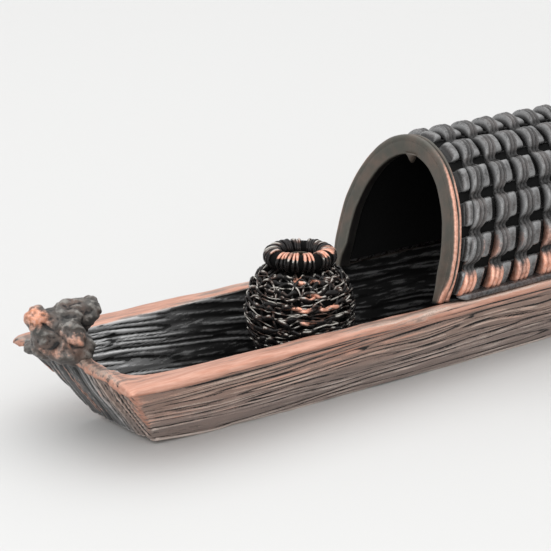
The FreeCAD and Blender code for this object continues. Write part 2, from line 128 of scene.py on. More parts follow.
# ---------------------------------------------------------------- meshes
def make_object(name, vertices, faces):
    """A closed mesh object in metres from millimetre points, doubles merged and normals outward."""
    mesh = bpy.data.meshes.new(name)
    mesh.from_pydata((np.asarray(vertices) * METRES).tolist(), [], faces)
    build = bmesh.new()
    build.from_mesh(mesh)
    bmesh.ops.remove_doubles(build, verts=build.verts, dist=1e-6)
    bmesh.ops.recalc_face_normals(build, faces=build.faces)
    build.to_mesh(mesh)
    build.free()
    thing = bpy.data.objects.new(name, mesh)
    bpy.context.scene.collection.objects.link(thing)
    shade_smooth(thing)
    return thing


def shade_smooth(thing):
    thing.data.polygons.foreach_set("use_smooth", [True] * len(thing.data.polygons))


def ring_faces(rings, points, caps=True, start=0):
    """Quads between neighbouring rings, and one face to close each end."""
    faces = []
    for ring in range(rings - 1):
        base = start + ring * points
        for point in range(points):
            after = (point + 1) % points
            faces.append((base + point, base + after, base + points + after, base + points + point))
    if caps:
        last = start + (rings - 1) * points
        faces.append(tuple(reversed(range(start, start + points))))
        faces.append(tuple(range(last, last + points)))
    return faces


def stack(name, rings, caps=True):
    """One object from an array of rings: ring, point, coordinate."""
    return bundle(name, [rings], caps)


def bundle(name, stacks, caps=True):
    """One object from several stacks of rings; a tube that comes back to its own start needs no caps."""
    vertices, faces = [], []
    for rings in stacks:
        count, points, _ = rings.shape
        faces += ring_faces(count, points, caps, len(vertices))
        vertices += rings.reshape(-1, 3).tolist()
    return make_object(name, vertices, faces)


def tube_rings(path, radius, sides, closed=False):
    """Rings round a path; radius is one number or one for each point of the path."""
    path = np.asarray(path, float)
    if closed:
        ahead, behind = np.roll(path, -1, 0), np.roll(path, 1, 0)
    else:
        ahead = np.vstack([path[1:], path[-1:]])
        behind = np.vstack([path[:1], path[:-1]])
    tangent = ahead - behind
    tangent /= np.linalg.norm(tangent, axis=1)[:, None]
    side = np.cross(tangent, [0.0, 0.0, 1.0]) + np.array([1e-6, 2e-6, 0])
    side /= np.linalg.norm(side, axis=1)[:, None]
    for step in range(1, len(path)):
        if side[step] @ side[step - 1] < 0:
            side[step] *= -1
    upward = np.cross(side, tangent)
    radius = np.broadcast_to(np.asarray(radius, float), (len(path),))
    turn = full_turn(sides)[None, :, None]
    around = np.cos(turn) * side[:, None] + np.sin(turn) * upward[:, None]
    rings = path[:, None] + around * radius[:, None, None]
    if closed:
        rings = np.vstack([rings, rings[:1]])
    return rings


def round_ends(path, radius):
    """The radius along a strand, drawn in over the last three points at both ends."""
    steps = np.minimum(np.arange(len(path)), np.arange(len(path))[::-1])
    return radius * np.sqrt(np.clip((steps + 0.35) / 3, 0, 1))


def positions(thing):
    flat = np.empty(len(thing.data.vertices) * 3)
    thing.data.vertices.foreach_get("co", flat)
    return flat.reshape(-1, 3) / METRES


def normals(thing):
    flat = np.empty(len(thing.data.vertices) * 3, np.float32)
    thing.data.vertex_normals.foreach_get("vector", flat)
    return flat.reshape(-1, 3).astype(float)


def move_to(thing, points):
    thing.data.vertices.foreach_set("co", (points * METRES).ravel())
    thing.data.update()


def mark(thing, **fields):
    """Stores one number for each vertex under each name, which the finish reads."""
    for name, values in fields.items():
        layer = thing.data.attributes.get(name) or thing.data.attributes.new(name, "FLOAT", "POINT")
        values = np.broadcast_to(np.asarray(values, float), (len(thing.data.vertices),))
        layer.data.foreach_set("value", values.astype(np.float32))


def smoothed(thing, points, rounds):
    """The points with each drawn towards its neighbours, some rounds over."""
    ends = np.empty(len(thing.data.edges) * 2, int)
    thing.data.edges.foreach_get("vertices", ends)
    a, b = ends.reshape(-1, 2).T
    here, there = np.concatenate([a, b]), np.concatenate([b, a])
    count = np.maximum(np.bincount(here, minlength=len(points)), 1)[:, None]
    for _ in range(rounds):
        total = np.stack([np.bincount(here, axis[there], len(points)) for axis in points.T], 1)
        points = mix(points, total / count, 0.7)
    return points


def mark_relief(thing, full, rounds):
    """Marks how far each vertex stands proud of, or lies below, its surroundings; full is a height for 1."""
    points = positions(thing)
    height = np.einsum("ij,ij->i", points - smoothed(thing, points, rounds), normals(thing))
    mark(thing, relief=np.clip(height / full, -1, 1))


def baked(thing, name):
    """A plain mesh object from the evaluated one, which is removed."""
    graph = bpy.context.evaluated_depsgraph_get()
    mesh = bpy.data.meshes.new_from_object(thing.evaluated_get(graph))
    mesh.name = name
    bpy.data.objects.remove(thing)
    made = bpy.data.objects.new(name, mesh)
    bpy.context.scene.collection.objects.link(made)
    shade_smooth(made)
    return made


# ---------------------------------------------------------------- node graphs
class Graph:
    """Adds nodes to one tree and wires them; a value is a number, a tuple or another node's socket."""

    def __init__(self, tree):
        self.tree = tree

    def node(self, kind, values=(), **settings):
        made = self.tree.nodes.new(kind)
        for name, setting in settings.items():
            setattr(made, name, setting)
        for key, value in dict(values).items():
            self.feed(made.inputs[key], value)
        return made

    def feed(self, socket, value):
        if isinstance(value, bpy.types.NodeSocket):
            self.tree.links.new(value, socket)
        elif value is not None:
            socket.default_value = value

    def math(self, operation, *values):
        return self.node("ShaderNodeMath", enumerate(values), operation=operation).outputs[0]

    def add(self, first, *others):
        for other in others:
            first = self.math("ADD", first, other)
        return first

    def minus(self, a, b):
        return self.math("SUBTRACT", a, b)

    def times(self, first, *others):
        for other in others:
            first = self.math("MULTIPLY", first, other)
        return first

    def over(self, a, b):
        return self.math("DIVIDE", a, b)

    def spread(self, value, low, high):
        """Smooth step of a value between low and high."""
        values = {"Value": value, "From Min": low, "From Max": high}
        made = self.node("ShaderNodeMapRange", values, interpolation_type="SMOOTHSTEP")
        return made.outputs["Result"]

    def blend(self, share, first, second):
        made = self.node("ShaderNodeMix", data_type="RGBA")
        for socket, value in zip((made.inputs[0], made.inputs[6], made.inputs[7]), (share, first, second)):
            self.feed(socket, value)
        return made.outputs[2]

    def attribute(self, name):
        return self.node("ShaderNodeAttribute", attribute_name=name).outputs["Fac"]

    def noise(self, vector, scale, detail, roughness):
        values = {"Vector": vector, "Scale": scale, "Detail": detail, "Roughness": roughness}
        return self.node("ShaderNodeTexNoise", values).outputs["Fac"]


def new_group(name, kind, inputs, outputs):
    """A node group with named sockets; returns its graph, its input node and its output node."""
    tree = bpy.data.node_groups.new(name, kind)
    for direction, sockets in (("INPUT", inputs), ("OUTPUT", outputs)):
        for label, (socket_type, value) in sockets.items():
            kind_name = "NodeSocket" + socket_type
            socket = tree.interface.new_socket(label, in_out=direction, socket_type=kind_name)
            if value is not None:
                socket.default_value = value
    graph = Graph(tree)
    return graph, graph.node("NodeGroupInput").outputs, graph.node("NodeGroupOutput")


# ---------------------------------------------------------------- finishes
def make_aged_copper():
    """Copper that has been blackened and then rubbed: bare on what stands proud, dark in what lies deep.
    Proud parts also take a pale painted highlight, and the darkening mark paints shade in the dark hollow
    colour.
    """
    inputs = {
        "Rub": ("Float", 0.0),
        "Rub On Relief": ("Float", 0.5),
        "Mottle": ("Float", 0.3),
        "Speckle": ("Float", 0.8),
        "Stretch": ("Vector", (1.0, 1.0, 1.0)),
        "Copper": ("Color", (0.52, 0.26, 0.185, 1)),
        "Worn": ("Color", (0.69, 0.41, 0.32, 1)),
        "Patina": ("Color", (0.16, 0.13, 0.115, 1)),
        # The polish colour serves both rubbed crests and painted highlights.
        "Polish": ("Color", (0.25, 0.22, 0.20, 1)),
        # The hollow colour serves both blackened hollows and painted shade.
        "Hollow": ("Color", (0.012, 0.011, 0.011, 1)),
    }
    outputs = {
        "Color": ("Color", None),
        "Metallic": ("Float", None),
        "Roughness": ("Float", None),
        "Height": ("Float", None),
    }
    graph, given, out = new_group("aged_copper", "ShaderNodeTree", inputs, outputs)
    place = graph.node("ShaderNodeTexCoord").outputs["Object"]
    stretch = {0: place, 1: given["Stretch"]}
    along = graph.node("ShaderNodeVectorMath", stretch, operation="MULTIPLY").outputs[0]
    cloud = graph.noise(along, 260.0, 3.0, 0.55)
    grit = graph.noise(along, 1500.0, 4.0, 0.65)
    dust = graph.noise(place, 5200.0, 2.0, 0.6)
    relief = graph.attribute("relief")
    rubbed = graph.add(
        graph.times(relief, given["Rub On Relief"]),
        graph.attribute("rub"),
        given["Rub"],
        graph.times(graph.minus(cloud, 0.5), given["Mottle"], 1.6),
        graph.times(graph.minus(grit, 0.5), given["Mottle"], 1.6),
        graph.times(graph.minus(dust, 0.5), given["Mottle"], 0.5),
    )
    bare = graph.spread(rubbed, 0.32, 0.82)
    grain = graph.add(graph.minus(grit, 0.5), graph.times(graph.minus(dust, 0.5), 0.5))
    speck = graph.times(grain, given["Speckle"])
    deep = graph.spread(graph.minus(speck, relief), 0.0, 0.5)
    # This mark is partly blackening and partly painted shade: where it is high, the colour goes to the dark
    # hollow colour and the pale colour fades.
    soot = graph.attribute("soot")
    sunk = graph.math("MAXIMUM", deep, soot)
    # Proud parts take the pale polish colour: partly rubbed crests, partly a painted highlight.
    proud = graph.spread(graph.add(relief, speck), 0.1, 0.75)
    proud = graph.times(proud, graph.minus(1.0, graph.times(soot, 0.8)))
    tarnish = graph.blend(graph.spread(cloud, 0.3, 0.75), given["Patina"],
                          graph.blend(0.12, given["Patina"], given["Copper"]))
    tarnish = graph.blend(sunk, tarnish, given["Hollow"])
    tarnish = graph.blend(proud, tarnish, given["Polish"])
    paled = {"Color": tarnish, "Saturation": graph.minus(1.0, graph.attribute("cold"))}
    tarnish = graph.node("ShaderNodeHueSaturation", paled).outputs[0]
    metal = graph.blend(graph.spread(grit, 0.35, 0.7), given["Copper"], given["Worn"])
    graph.feed(out.inputs["Color"], graph.blend(bare, tarnish, metal))
    graph.feed(out.inputs["Metallic"], graph.add(0.35, graph.times(bare, 0.35)))
    shine = graph.add(0.42, graph.times(bare, 0.1), graph.times(graph.minus(grit, 0.5), 0.35))
    graph.feed(out.inputs["Roughness"], shine)
    graph.feed(out.inputs["Height"], graph.add(graph.times(grit, 0.7), graph.times(dust, 0.3)))
    return graph.tree


AGED_COPPER = make_aged_copper()
PITTING_DEPTH = 0.06 * METRES


def aged_finish(name, roughness_shift=0.0, gloss=0.5, **values):
    """A material of aged copper with its own amount of rubbing and its own colours."""
    material = bpy.data.materials.new(name)
    material.use_nodes = True
    graph = Graph(material.node_tree)
    surface = material.node_tree.nodes["Principled BSDF"]
    copper = graph.node("ShaderNodeGroup", node_tree=AGED_COPPER)
    for label, value in values.items():
        copper.inputs[label.replace("_", " ")].default_value = value
    pitting = {"Height": copper.outputs["Height"], "Distance": PITTING_DEPTH}
    graph.feed(surface.inputs["Base Color"], copper.outputs["Color"])
    graph.feed(surface.inputs["Metallic"], copper.outputs["Metallic"])
    graph.feed(surface.inputs["Roughness"], graph.add(copper.outputs["Roughness"], roughness_shift))
    graph.feed(surface.inputs["Normal"], graph.node("ShaderNodeBump", pitting).outputs["Normal"])
    surface.inputs["Specular IOR Level"].default_value = gloss
    return material


def colour(red, green, blue):
    return (red, green, blue, 1.0)


FINISHES = {
    "hull": aged_finish(
        "hull_rubbed_copper", gloss=0.3, Stretch=(0.1, 1.0, 1.0),
        Rub_On_Relief=0.55, Mottle=0.95, Speckle=1.7,
        Copper=colour(0.48, 0.24, 0.17), Worn=colour(0.61, 0.365, 0.285),
        Patina=colour(0.265, 0.188, 0.155), Polish=colour(0.58, 0.46, 0.39)),
    "knot": aged_finish(
        "knot_rubbed_copper", Rub_On_Relief=0.3, Mottle=0.5, Copper=colour(0.6, 0.25, 0.14),
        Patina=colour(0.06, 0.058, 0.054), Polish=colour(0.2, 0.19, 0.175)),
    "rim": aged_finish(
        "rim_rubbed_copper", Rub_On_Relief=0.4, Mottle=0.2,
        Patina=colour(0.068, 0.066, 0.055), Polish=colour(0.11, 0.106, 0.09)),
    "mat": aged_finish(
        "mat_rubbed_copper", roughness_shift=-0.14, gloss=0.4, Rub_On_Relief=0.25, Mottle=0.3,
        Copper=colour(0.6, 0.27, 0.18), Patina=colour(0.028, 0.028, 0.028), Polish=colour(0.2, 0.2, 0.203)),
    # Near-black lining for the canopy shell, the basket's core and the collar's roll: blackened metal,
    # darkened further as painted shade.
    "lining": aged_finish(
        "lining_blackened", roughness_shift=0.35, gloss=0.12, Rub=-1.5, Rub_On_Relief=0.0, Mottle=0.1,
        Copper=colour(0.008, 0.008, 0.008), Patina=colour(0.005, 0.005, 0.005),
        Polish=colour(0.01, 0.01, 0.01), Hollow=colour(0.003, 0.003, 0.003)),
    "basket": aged_finish(
        "basket_blackened_copper", roughness_shift=-0.16, gloss=0.25, Rub_On_Relief=0.15, Mottle=0.3,
        Copper=colour(0.6, 0.27, 0.18), Patina=colour(0.018, 0.018, 0.017), Polish=colour(0.43, 0.41, 0.375)),
    "ferrule": aged_finish(
        "ferrule_tarnished_brass", Rub=-0.2, Mottle=0.4, Copper=colour(0.35, 0.22, 0.09),
        Worn=colour(0.5, 0.35, 0.16), Patina=colour(0.022, 0.017, 0.011), Polish=colour(0.08, 0.06, 0.035)),
    "steel": aged_finish(
        "dowel_steel", Rub=0.5, Mottle=0.3, Copper=colour(0.5, 0.5, 0.5),
        Worn=colour(0.65, 0.65, 0.65), Patina=colour(0.2, 0.2, 0.2)),
}


def settle(thing, finish, body, slot, *nodes):
    """Gives a piece its finish and its body, and hides the CAD nodes that it stands for; slot is not used."""
    thing.data.materials.clear()
    thing.data.materials.append(FINISHES[finish])
    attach(thing, body)
    if nodes:
        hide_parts(*nodes)


# ---------------------------------------------------------------- hull
RAKE = 10.2
ROCKER = 1.1
FLOOR = 2.2
TRANSOM_TOP = 2.6
SIDE_COLUMNS = 170
END_COLUMNS = 56
CORNER_COLUMNS = 10
HALF_STATIONS = [0, CANOPY_HALF, 60, 73, 87, 100, HULL_HALF]
HALF_BEAMS = [17.4, 17.4, 17.9, 18.2, 18.5, 18.4, 18.0]
GUNWALE_WIDTHS = [2.9, 2.9, 3.8, 4.5, 5.2, 5.5, 5.5]
BOTTOM_HALVES = [9.8, 9.8, 9.8, 9.8, 9.6, 9.0, 8.2]
FLOOR_HALVES = [9.0, 9.0, 9.1, 9.1, 9.1, 8.5, 7.8]
BOTTOM_CORNER = 1.0
TOP_CORNER = 1.3
WELL_CORNER = 5.5
FLOOR_CORNER = 4.5
FLOOR_ROUND = 1.2
# How far the bottom's and floor's innermost ring stops short of the outermost.
SHALLOW = 7.0
OUTSIDE_ROWS = 76
INSIDE_ROWS = 72
# The gunwale's rounded top: shares of the way across, and how far below the top each is.
ROLL_ACROSS = [0.0, 0.015, 0.05, 0.11, 0.2, 0.33, 0.5, 0.67, 0.8, 0.88, 0.94, 0.98, 1.0]
ROLL_DOWN = [1.3, 0.85, 0.5, 0.24, 0.08, 0.0, 0.0, 0.03, 0.07, 0.13, 0.24, 0.4, 0.6]


def along_hull(x, values):
    return np.interp(np.abs(x), HALF_STATIONS, values)


def plan_ring(reach, half_width, corner):
    """One closed plan line: starboard side, stern, port side, bow. half_width is a function of x."""
    share = np.linspace(0, 1, SIDE_COLUMNS)
    x_side = mix(-(reach - corner), reach - corner, share)
    side = np.stack([x_side, -half_width(x_side)], 1)
    end_half = float(half_width(np.array([reach - corner]))[0])
    turn = np.linspace(0, pi / 2, CORNER_COLUMNS + 2)[1:-1]
    flat_half = end_half - corner
    corner_line = np.stack([reach - corner + corner * np.sin(turn), -flat_half - corner * np.cos(turn)], 1)
    across = np.linspace(-flat_half, flat_half, END_COLUMNS)
    end = np.stack([np.full(END_COLUMNS, reach), across], 1)
    first_half = np.vstack([side, corner_line, end, corner_line[::-1] * [1, -1]])
    return np.vstack([first_half, -first_half])


def end_share():
    """For each point of a plan ring, 0 on the long sides and 1 on the bow and stern."""
    corner = ease(np.arange(1, CORNER_COLUMNS + 1) / (CORNER_COLUMNS + 1), 0, 1)
    half = np.concatenate([np.zeros(SIDE_COLUMNS), corner, np.ones(END_COLUMNS), corner[::-1]])
    return np.concatenate([half, half])


class RingStack:
    """Plan rings in order along the hull's section, each with the zone that it belongs to."""

    def __init__(self):
        self.rings, self.zones = [], []

    def add(self, reach, half_width, corner, level, zone):
        ring = plan_ring(reach, half_width, corner)
        height = level(ring[:, 0]) if callable(level) else np.full(len(ring), level)
        self.rings.append(np.column_stack([ring, height]))
        self.zones.append(zone)


def bottom_level(x):
    """The bottom is flat, and turns up a little at the bow and stern."""
    return ROCKER * ease(np.abs(x), HULL_HALF - 24, HULL_HALF - RAKE * 0.6)


def outside_half(grade):
    """Half the beam at a share of the way up the outside, as a function of x."""
    return lambda x: mix(along_hull(x, BOTTOM_HALVES), along_hull(x, HALF_BEAMS), grade)


def gunwale_half(share):
    """Half the beam at a share of the way in across the gunwale, as a function of x."""
    return lambda x: along_hull(x, HALF_BEAMS) - along_hull(x, GUNWALE_WIDTHS) * share


def inside_half(share):
    """Half the width of the well at a share of the way down from the gunwale, as a function of x."""
    return lambda x: mix(gunwale_half(1.0)(x), along_hull(x, FLOOR_HALVES), share)


def hull_rings():
    """Plan rings from the middle of the bottom, up the outside, over the gunwale and down to the floor.

    Zones: 0 bottom, 1 to 2 outside, 2 to 3 over the gunwale, 3 to 4 inside, 4 floor.
    """
    made = RingStack()
    slope = RAKE / (GUNWALE_TOP - ROCKER)
    for share in np.linspace(0, 1, 8)[:-1]:
        made.add(HULL_HALF - RAKE - SHALLOW * (1 - share), lambda x: along_hull(x, BOTTOM_HALVES) * share,
                 BOTTOM_CORNER * max(share, 0.02), bottom_level, 0.0)
    for share in np.linspace(0, 1, OUTSIDE_ROWS)[:-1]:
        grade = share * (GUNWALE_TOP - ROLL_DOWN[0]) / GUNWALE_TOP
        made.add(HULL_HALF - RAKE * (1 - grade), outside_half(grade), mix(BOTTOM_CORNER, TOP_CORNER, grade),
                 lambda x: mix(bottom_level(x), GUNWALE_TOP, grade), 1.0 + share)
    for share, down in zip(ROLL_ACROSS, ROLL_DOWN):
        made.add(HULL_HALF - TRANSOM_TOP * share, gunwale_half(share), mix(TOP_CORNER, WELL_CORNER, share),
                 GUNWALE_TOP - down, 2.0 + share)
    top = GUNWALE_TOP - ROLL_DOWN[-1]
    for share in np.linspace(0, 1, INSIDE_ROWS)[1:]:
        level = mix(top, FLOOR, share)
        round_in = FLOOR_ROUND * max(0.0, (share - 0.85) / 0.15) ** 2
        made.add(HULL_HALF - TRANSOM_TOP - slope * (top - level) - round_in,
                 lambda x: inside_half(share)(x) - round_in, mix(WELL_CORNER, FLOOR_CORNER, share),
                 level, 3.0 + share)
    reach = HULL_HALF - TRANSOM_TOP - slope * (top - FLOOR) - FLOOR_ROUND
    for share in np.linspace(1, 0, 12)[1:]:
        made.add(reach - SHALLOW * (1 - share), lambda x: (along_hull(x, FLOOR_HALVES) - FLOOR_ROUND) * share,
                 FLOOR_CORNER * max(share, 0.02), FLOOR, 4.0)
    return np.array(made.rings), np.array(made.zones)[:, None]


def surface_normals(rings):
    around = np.roll(rings, -1, 1) - np.roll(rings, 1, 1)
    upward = np.gradient(rings, axis=0)
    cross = np.cross(around, upward)
    return cross / np.maximum(np.linalg.norm(cross, axis=2), 1e-9)[..., None]


def timber_grain(rings):
    """Lays fields along the timber: fore and aft on the sides, and down the rake on the bow and stern."""
    x, y = rings[..., 0], rings[..., 1]
    steps = np.linalg.norm(np.diff(rings, axis=0, prepend=rings[:1]), axis=2)
    travelled = np.cumsum(steps, axis=0)
    side_places = x + np.where(y > 0, 400, 0), travelled
    end_places = travelled * 1.3 + np.where(x > 0, 900, 700), y + 60
    return lambda field_of: mix(field_of(*side_places), field_of(*end_places), end_share())


def hull_parts(zone):
    """Shares of the outside, the gunwale's roll, the inside and the floor at each ring."""
    outside = ease(zone, 0.9, 1.0) * (1 - ease(zone, 1.96, 2.15))
    on_roll = ease(zone, 1.93, 2.1) * (1 - ease(zone, 2.9, 3.0))
    inside = ease(zone, 2.9, 3.0) * (1 - ease(zone, 3.97, 4.0))
    on_floor = ease(zone, 3.95, 4.0)
    return outside, on_roll, inside, on_floor


def grain_height(grain, zone):
    """How far the cast timber stands out from, or is cut into, the plain hull."""
    outside, on_roll, inside, on_floor = hull_parts(zone)

    def warped(a, c):
        return c + 1.8 * (field(a / 15, c / 4, 11) - 0.5)

    fine_out = grain(lambda a, c: rough_field(a / 16, warped(a, c) / 0.62, 21, 2)) - 0.5
    lines_out = grain(lambda a, c: furrow(a / 24, warped(a, c) / 1.1, 31, 4))
    coarse_in = grain(lambda a, c: furrow(a / 22, warped(a, c) / 1.5, 41, 1.8))
    split_in = grain(lambda a, c: furrow(a / 12, warped(a, c) / 0.8, 51, 2.5))
    fine_in = grain(lambda a, c: rough_field(a / 3, c / 0.5, 61)) - 0.5
    dents = grain(lambda a, c: field(a / 6, c / 3.2, 71)) - 0.5
    return (
        outside * (0.46 * fine_out - 0.34 * lines_out)
        + on_roll * (0.26 * dents + 0.12 * fine_out)
        + inside * (0.35 - 0.75 * coarse_in - 0.45 * split_in + 0.3 * fine_in)
        + on_floor * 0.1 * fine_in
    )


def end_rise(x, y, z):
    """The bow and stern stand a little higher in the middle, and the bow has a peak under the knot."""
    near_bow = ease(-x, HULL_HALF - 14, HULL_HALF - 3)
    near_stern = ease(x, HULL_HALF - 14, HULL_HALF - 3)
    middle = 1 - ease(np.abs(y), 9, 16)
    peak = np.exp(-((y - 0.6) / 4.0) ** 2)
    high = ease(z / GUNWALE_TOP, 0.55, 1.0)
    return high * (near_bow * (0.7 * middle + 1.4 * peak) + near_stern * 0.6 * middle)


def hull_wear(rings, grain, zone):
    """How far each point is rubbed to copper, darkened, and grey rather than brown; much of the darkening is
    painted shade.
    """
    x, y, z = rings[..., 0], rings[..., 1], rings[..., 2]
    outside, on_roll, inside, on_floor = hull_parts(zone)
    ends = end_share()[None, :]
    depth = GUNWALE_TOP - z
    amidships = 1 - ease(np.abs(x), 48, 84)
    under_canopy = 1 - ease(np.abs(x), CANOPY_HALF - 1.5, CANOPY_HALF)
    under_canopy = under_canopy * (1 - ease(np.abs(y), 15.6, 16.2)) * (zone >= 2.0)
    bow_lip = ends * ease(-x, 60, 90) * ease(zone, 1.6, 1.95) * (1 - ease(-y, 10, 16))
    end_lip = ends * ease(zone, 1.6, 2.0) * (1 - ease(zone, 2.2, 2.6))
    corners = ends * (1 - ends) * outside
    bottom_edge = np.exp(-((zone - 1.0) / 0.05) ** 2)
    patches = grain(lambda a, c: field(a / 33, c / 3.1, 81)) - 0.5

    worn_down = mix(0.5, 2.2, ease(np.abs(x), 50, 95))
    rub = np.where(zone < 2.0, 0.75 * (1 - ease(depth, 0.2 * worn_down, worn_down + 1.2)), 0.0)
    thin_line = -0.05 + 0.7 * np.exp(-((zone - 2.8) / 0.16) ** 2)
    rub = np.where((zone >= 2.0) & (zone < 3.0), mix(0.72, thin_line, amidships), rub)
    rub = np.where((zone >= 2.95) & (zone < 3.0), 0.3, rub)
    rub = rub + outside * (0.42 * patches + 0.42 * (1 - ease(depth, 0, 9)) - 0.5 * bottom_edge)
    rub = rub - 0.8 * inside - 0.9 * on_floor - 0.4 * bow_lip - 0.35 * end_lip
    rub = rub + 1.8 * corners - 1.2 * under_canopy

    # Painted shade in the darkening mark: darker down the well and aft of the bow, black on the well's floor
    # and under the canopy, and dark on the port half of the bow and stern faces, which are also drawn grey.
    far_aft = ease(x, -98, -74)
    inner = mix(0.26, 1.0, np.maximum(far_aft, 0.5 * ease(depth, 6, 12)))
    soot = inside * inner + 0.97 * on_floor + 0.75 * ends * outside * ease(y, -5, 3)
    soot = soot + 0.95 * under_canopy + 0.35 * bow_lip + 0.18 * on_roll * ease(-x, 88, 102)
    cold = np.maximum(inside + on_floor, ends * outside * ease(y, -6, 0)) + 0.3 * outside * ease(depth, 5, 12)
    return {"rub": rub, "soot": np.clip(soot, 0, 1), "cold": np.clip(cold, 0, 1)}


def same_points(thing, source):
    """For each vertex, the index of the same point in source; one without takes the index before it."""
    keys = {tuple(key): index for index, key in enumerate(np.round(source.reshape(-1, 3), 3).tolist())}
    found, last = [], 0
    for key in np.round(positions(thing), 3).tolist():
        last = keys.get(tuple(key), last)
        found.append(last)
    return np.array(found)


def make_hull():
    rings, zone = hull_rings()
    grain = timber_grain(rings)
    shaped = rings + surface_normals(rings) * grain_height(grain, zone)[..., None]
    shaped[..., 2] += end_rise(*np.moveaxis(rings, -1, 0))
    shaped[..., 2] = np.maximum(shaped[..., 2], 0.0)
    shaped[..., 0] += HULL_CENTRE
    hull = stack("punt_hull", shaped, caps=False)
    index = same_points(hull, shaped)
    wear = hull_wear(rings, grain, zone)
    mark(hull, **{name: values.reshape(-1)[index] for name, values in wear.items()})
    mark_relief(hull, 0.125, 4)
    settle(hull, "hull", "hull", "hull_metal", "hull")


# ---------------------------------------------------------------- prow knot
# Each lump: behind the foremost point, to port, above the gunwale, then its three half sizes and its turn.
KNOT_LUMPS = [
    (9.6, 0.8, 2.4, 3.2, 4.4, 3.2, 0),
    (9.3, 0.6, 6.9, 5.2, 2.8, 3.1, 6),
    (12.2, 0.4, 8.0, 2.8, 2.4, 2.5, 0),
    (3.3, 1.2, 8.0, 2.1, 2.0, 2.1, 0),
    (5.4, 1.2, 6.2, 3.0, 2.7, 3.0, 0),
    (7.6, -1.6, 5.4, 2.8, 2.4, 3.0, 20),
    (7.4, -0.6, 3.2, 3.0, 2.8, 2.8, -15),
    (5.2, 2.2, 2.6, 2.4, 3.4, 2.4, 0),
    (8.0, 3.6, 2.8, 2.6, 2.6, 3.4, 0),
    (7.6, 8.0, 0.0, 2.0, 4.6, 1.1, 0),
]
KNOT_VOXEL = 0.24
KNOT_SMOOTHING = 20


def knot_lump(behind, port, above, along, across, upward, turn):
    """The rings of one rounded lump."""
    level = np.linspace(-pi / 2, pi / 2, 26)[1:-1, None]
    around = full_turn(40)[None]
    local_x = along * np.cos(level) * np.cos(around)
    local_y = across * np.cos(level) * np.sin(around)
    local_z = upward * np.sin(level) + 0 * around
    c, s = cos(radians(turn)), sin(radians(turn))
    x = KNOT_BOW + behind + local_x * c - local_y * s
    y = port + local_x * s + local_y * c
    return np.stack([x, y, GUNWALE_TOP + above + local_z], 2)


def make_knot():
    """A gnarled burl of rounded lumps on the bow's top edge."""
    lumpy = bundle("knot_lumps", [knot_lump(*lump) for lump in KNOT_LUMPS])
    remesh = lumpy.modifiers.new("skin", "REMESH")
    remesh.mode = "VOXEL"
    remesh.voxel_size = KNOT_VOXEL * METRES
    relax = lumpy.modifiers.new("relax", "SMOOTH")
    relax.factor = 0.6
    relax.iterations = KNOT_SMOOTHING
    knot = baked(lumpy, "prow_burl")
    points = positions(knot)
    x, y, z = points.T
    swirl = rough_field(x / 2.2 + 0.35 * z, y / 1.9 + z / 2.1, 101, 4)
    creases = furrow(x / 3.4 + z / 4, y / 2.2 - z / 2.6, 111, 4)
    points = points + normals(knot) * (0.1 + 1.5 * (swirl - 0.5) - 0.3 * creases)[:, None]
    points[:, 0] = np.maximum(points[:, 0], KNOT_BOW)
    move_to(knot, points)
    behind, above = x - KNOT_BOW, z - GUNWALE_TOP
    ball = np.exp(-(((behind - 2.4) / 2.6) ** 2 + ((above - 8.5) / 2.4) ** 2))
    bud = np.exp(-(((behind - 7.2) / 2.6) ** 2 + ((y + 3.4) / 2.2) ** 2 + ((above - 5.4) / 2.2) ** 2))
    lip = np.exp(-(((behind - 4.2) / 3.0) ** 2 + ((above - 2.6) / 1.6) ** 2))
    rub = np.clip(0.8 * ball + 0.55 * bud + 0.4 * lip - 0.08, 0, 1)
    # Painted shade: the knot is darker towards its foot, below about 2 mm above the gunwale.
    mark(knot, rub=rub, soot=0.55 * ease(-above, -2.2, 1.0))
    mark_relief(knot, 0.22, 10)
    settle(knot, "knot", "hull", "knot_metal", "prow_knot")


# ---------------------------------------------------------------- canopy
def foot_angle(level, inset=0.0):
    """The ellipse's own angle from the ridge at which the inset arch comes down to a level."""
    return acos((level - ARCH_CENTRE) / (ARCH_RISE - inset))


def arch_sections(count, level):
    """Points, outward normals and levels along the arch's outer line, from one foot to the other."""
    limit = foot_angle(level)
    angle = np.linspace(-limit, limit, count)
    y, z = ARCH_HALF * np.sin(angle), ARCH_CENTRE + ARCH_RISE * np.cos(angle)
    out = np.stack([np.sin(angle) / ARCH_HALF, np.cos(angle) / ARCH_RISE], 1)
    return y, z, out / np.linalg.norm(out, axis=1)[:, None]


# The rim's section: how far back from its face, and how far out from the arch line.
RIM_OUTLINE = [
    (0.06, -3.5), (0.0, -3.25), (0.0, -2.4), (0.02, -1.7), (0.06, -1.25), (0.12, -1.12), (0.08, -0.95),
    (0.03, -0.72), (0.10, -0.40), (0.28, -0.14), (0.52, 0.0), (0.78, -0.03), (0.98, -0.16), (1.08, -0.34),
    (1.14, -0.52), (1.22, -0.54), (1.30, -0.36), (1.42, -0.20), (1.60, -0.12), (1.78, -0.17), (1.92, -0.32),
    (2.02, -0.6), (2.2, -0.9), (2.25, -1.6), (2.25, -2.6), (2.22, -3.4), (2.0, -3.5), (1.2, -3.55),
    (0.5, -3.54),
]

BEAD_BACK = 0.55
GROOVE_BACK = 1.18
RIDGE_BACK = 1.62


def along_section(outline, back, spread, inner_end):
    """1 on the part of the rim's section that lies this far back, fading to 0 beside it."""
    return np.exp(-((outline[:, 0] - back) / spread) ** 2) * (outline[:, 1] > inner_end)


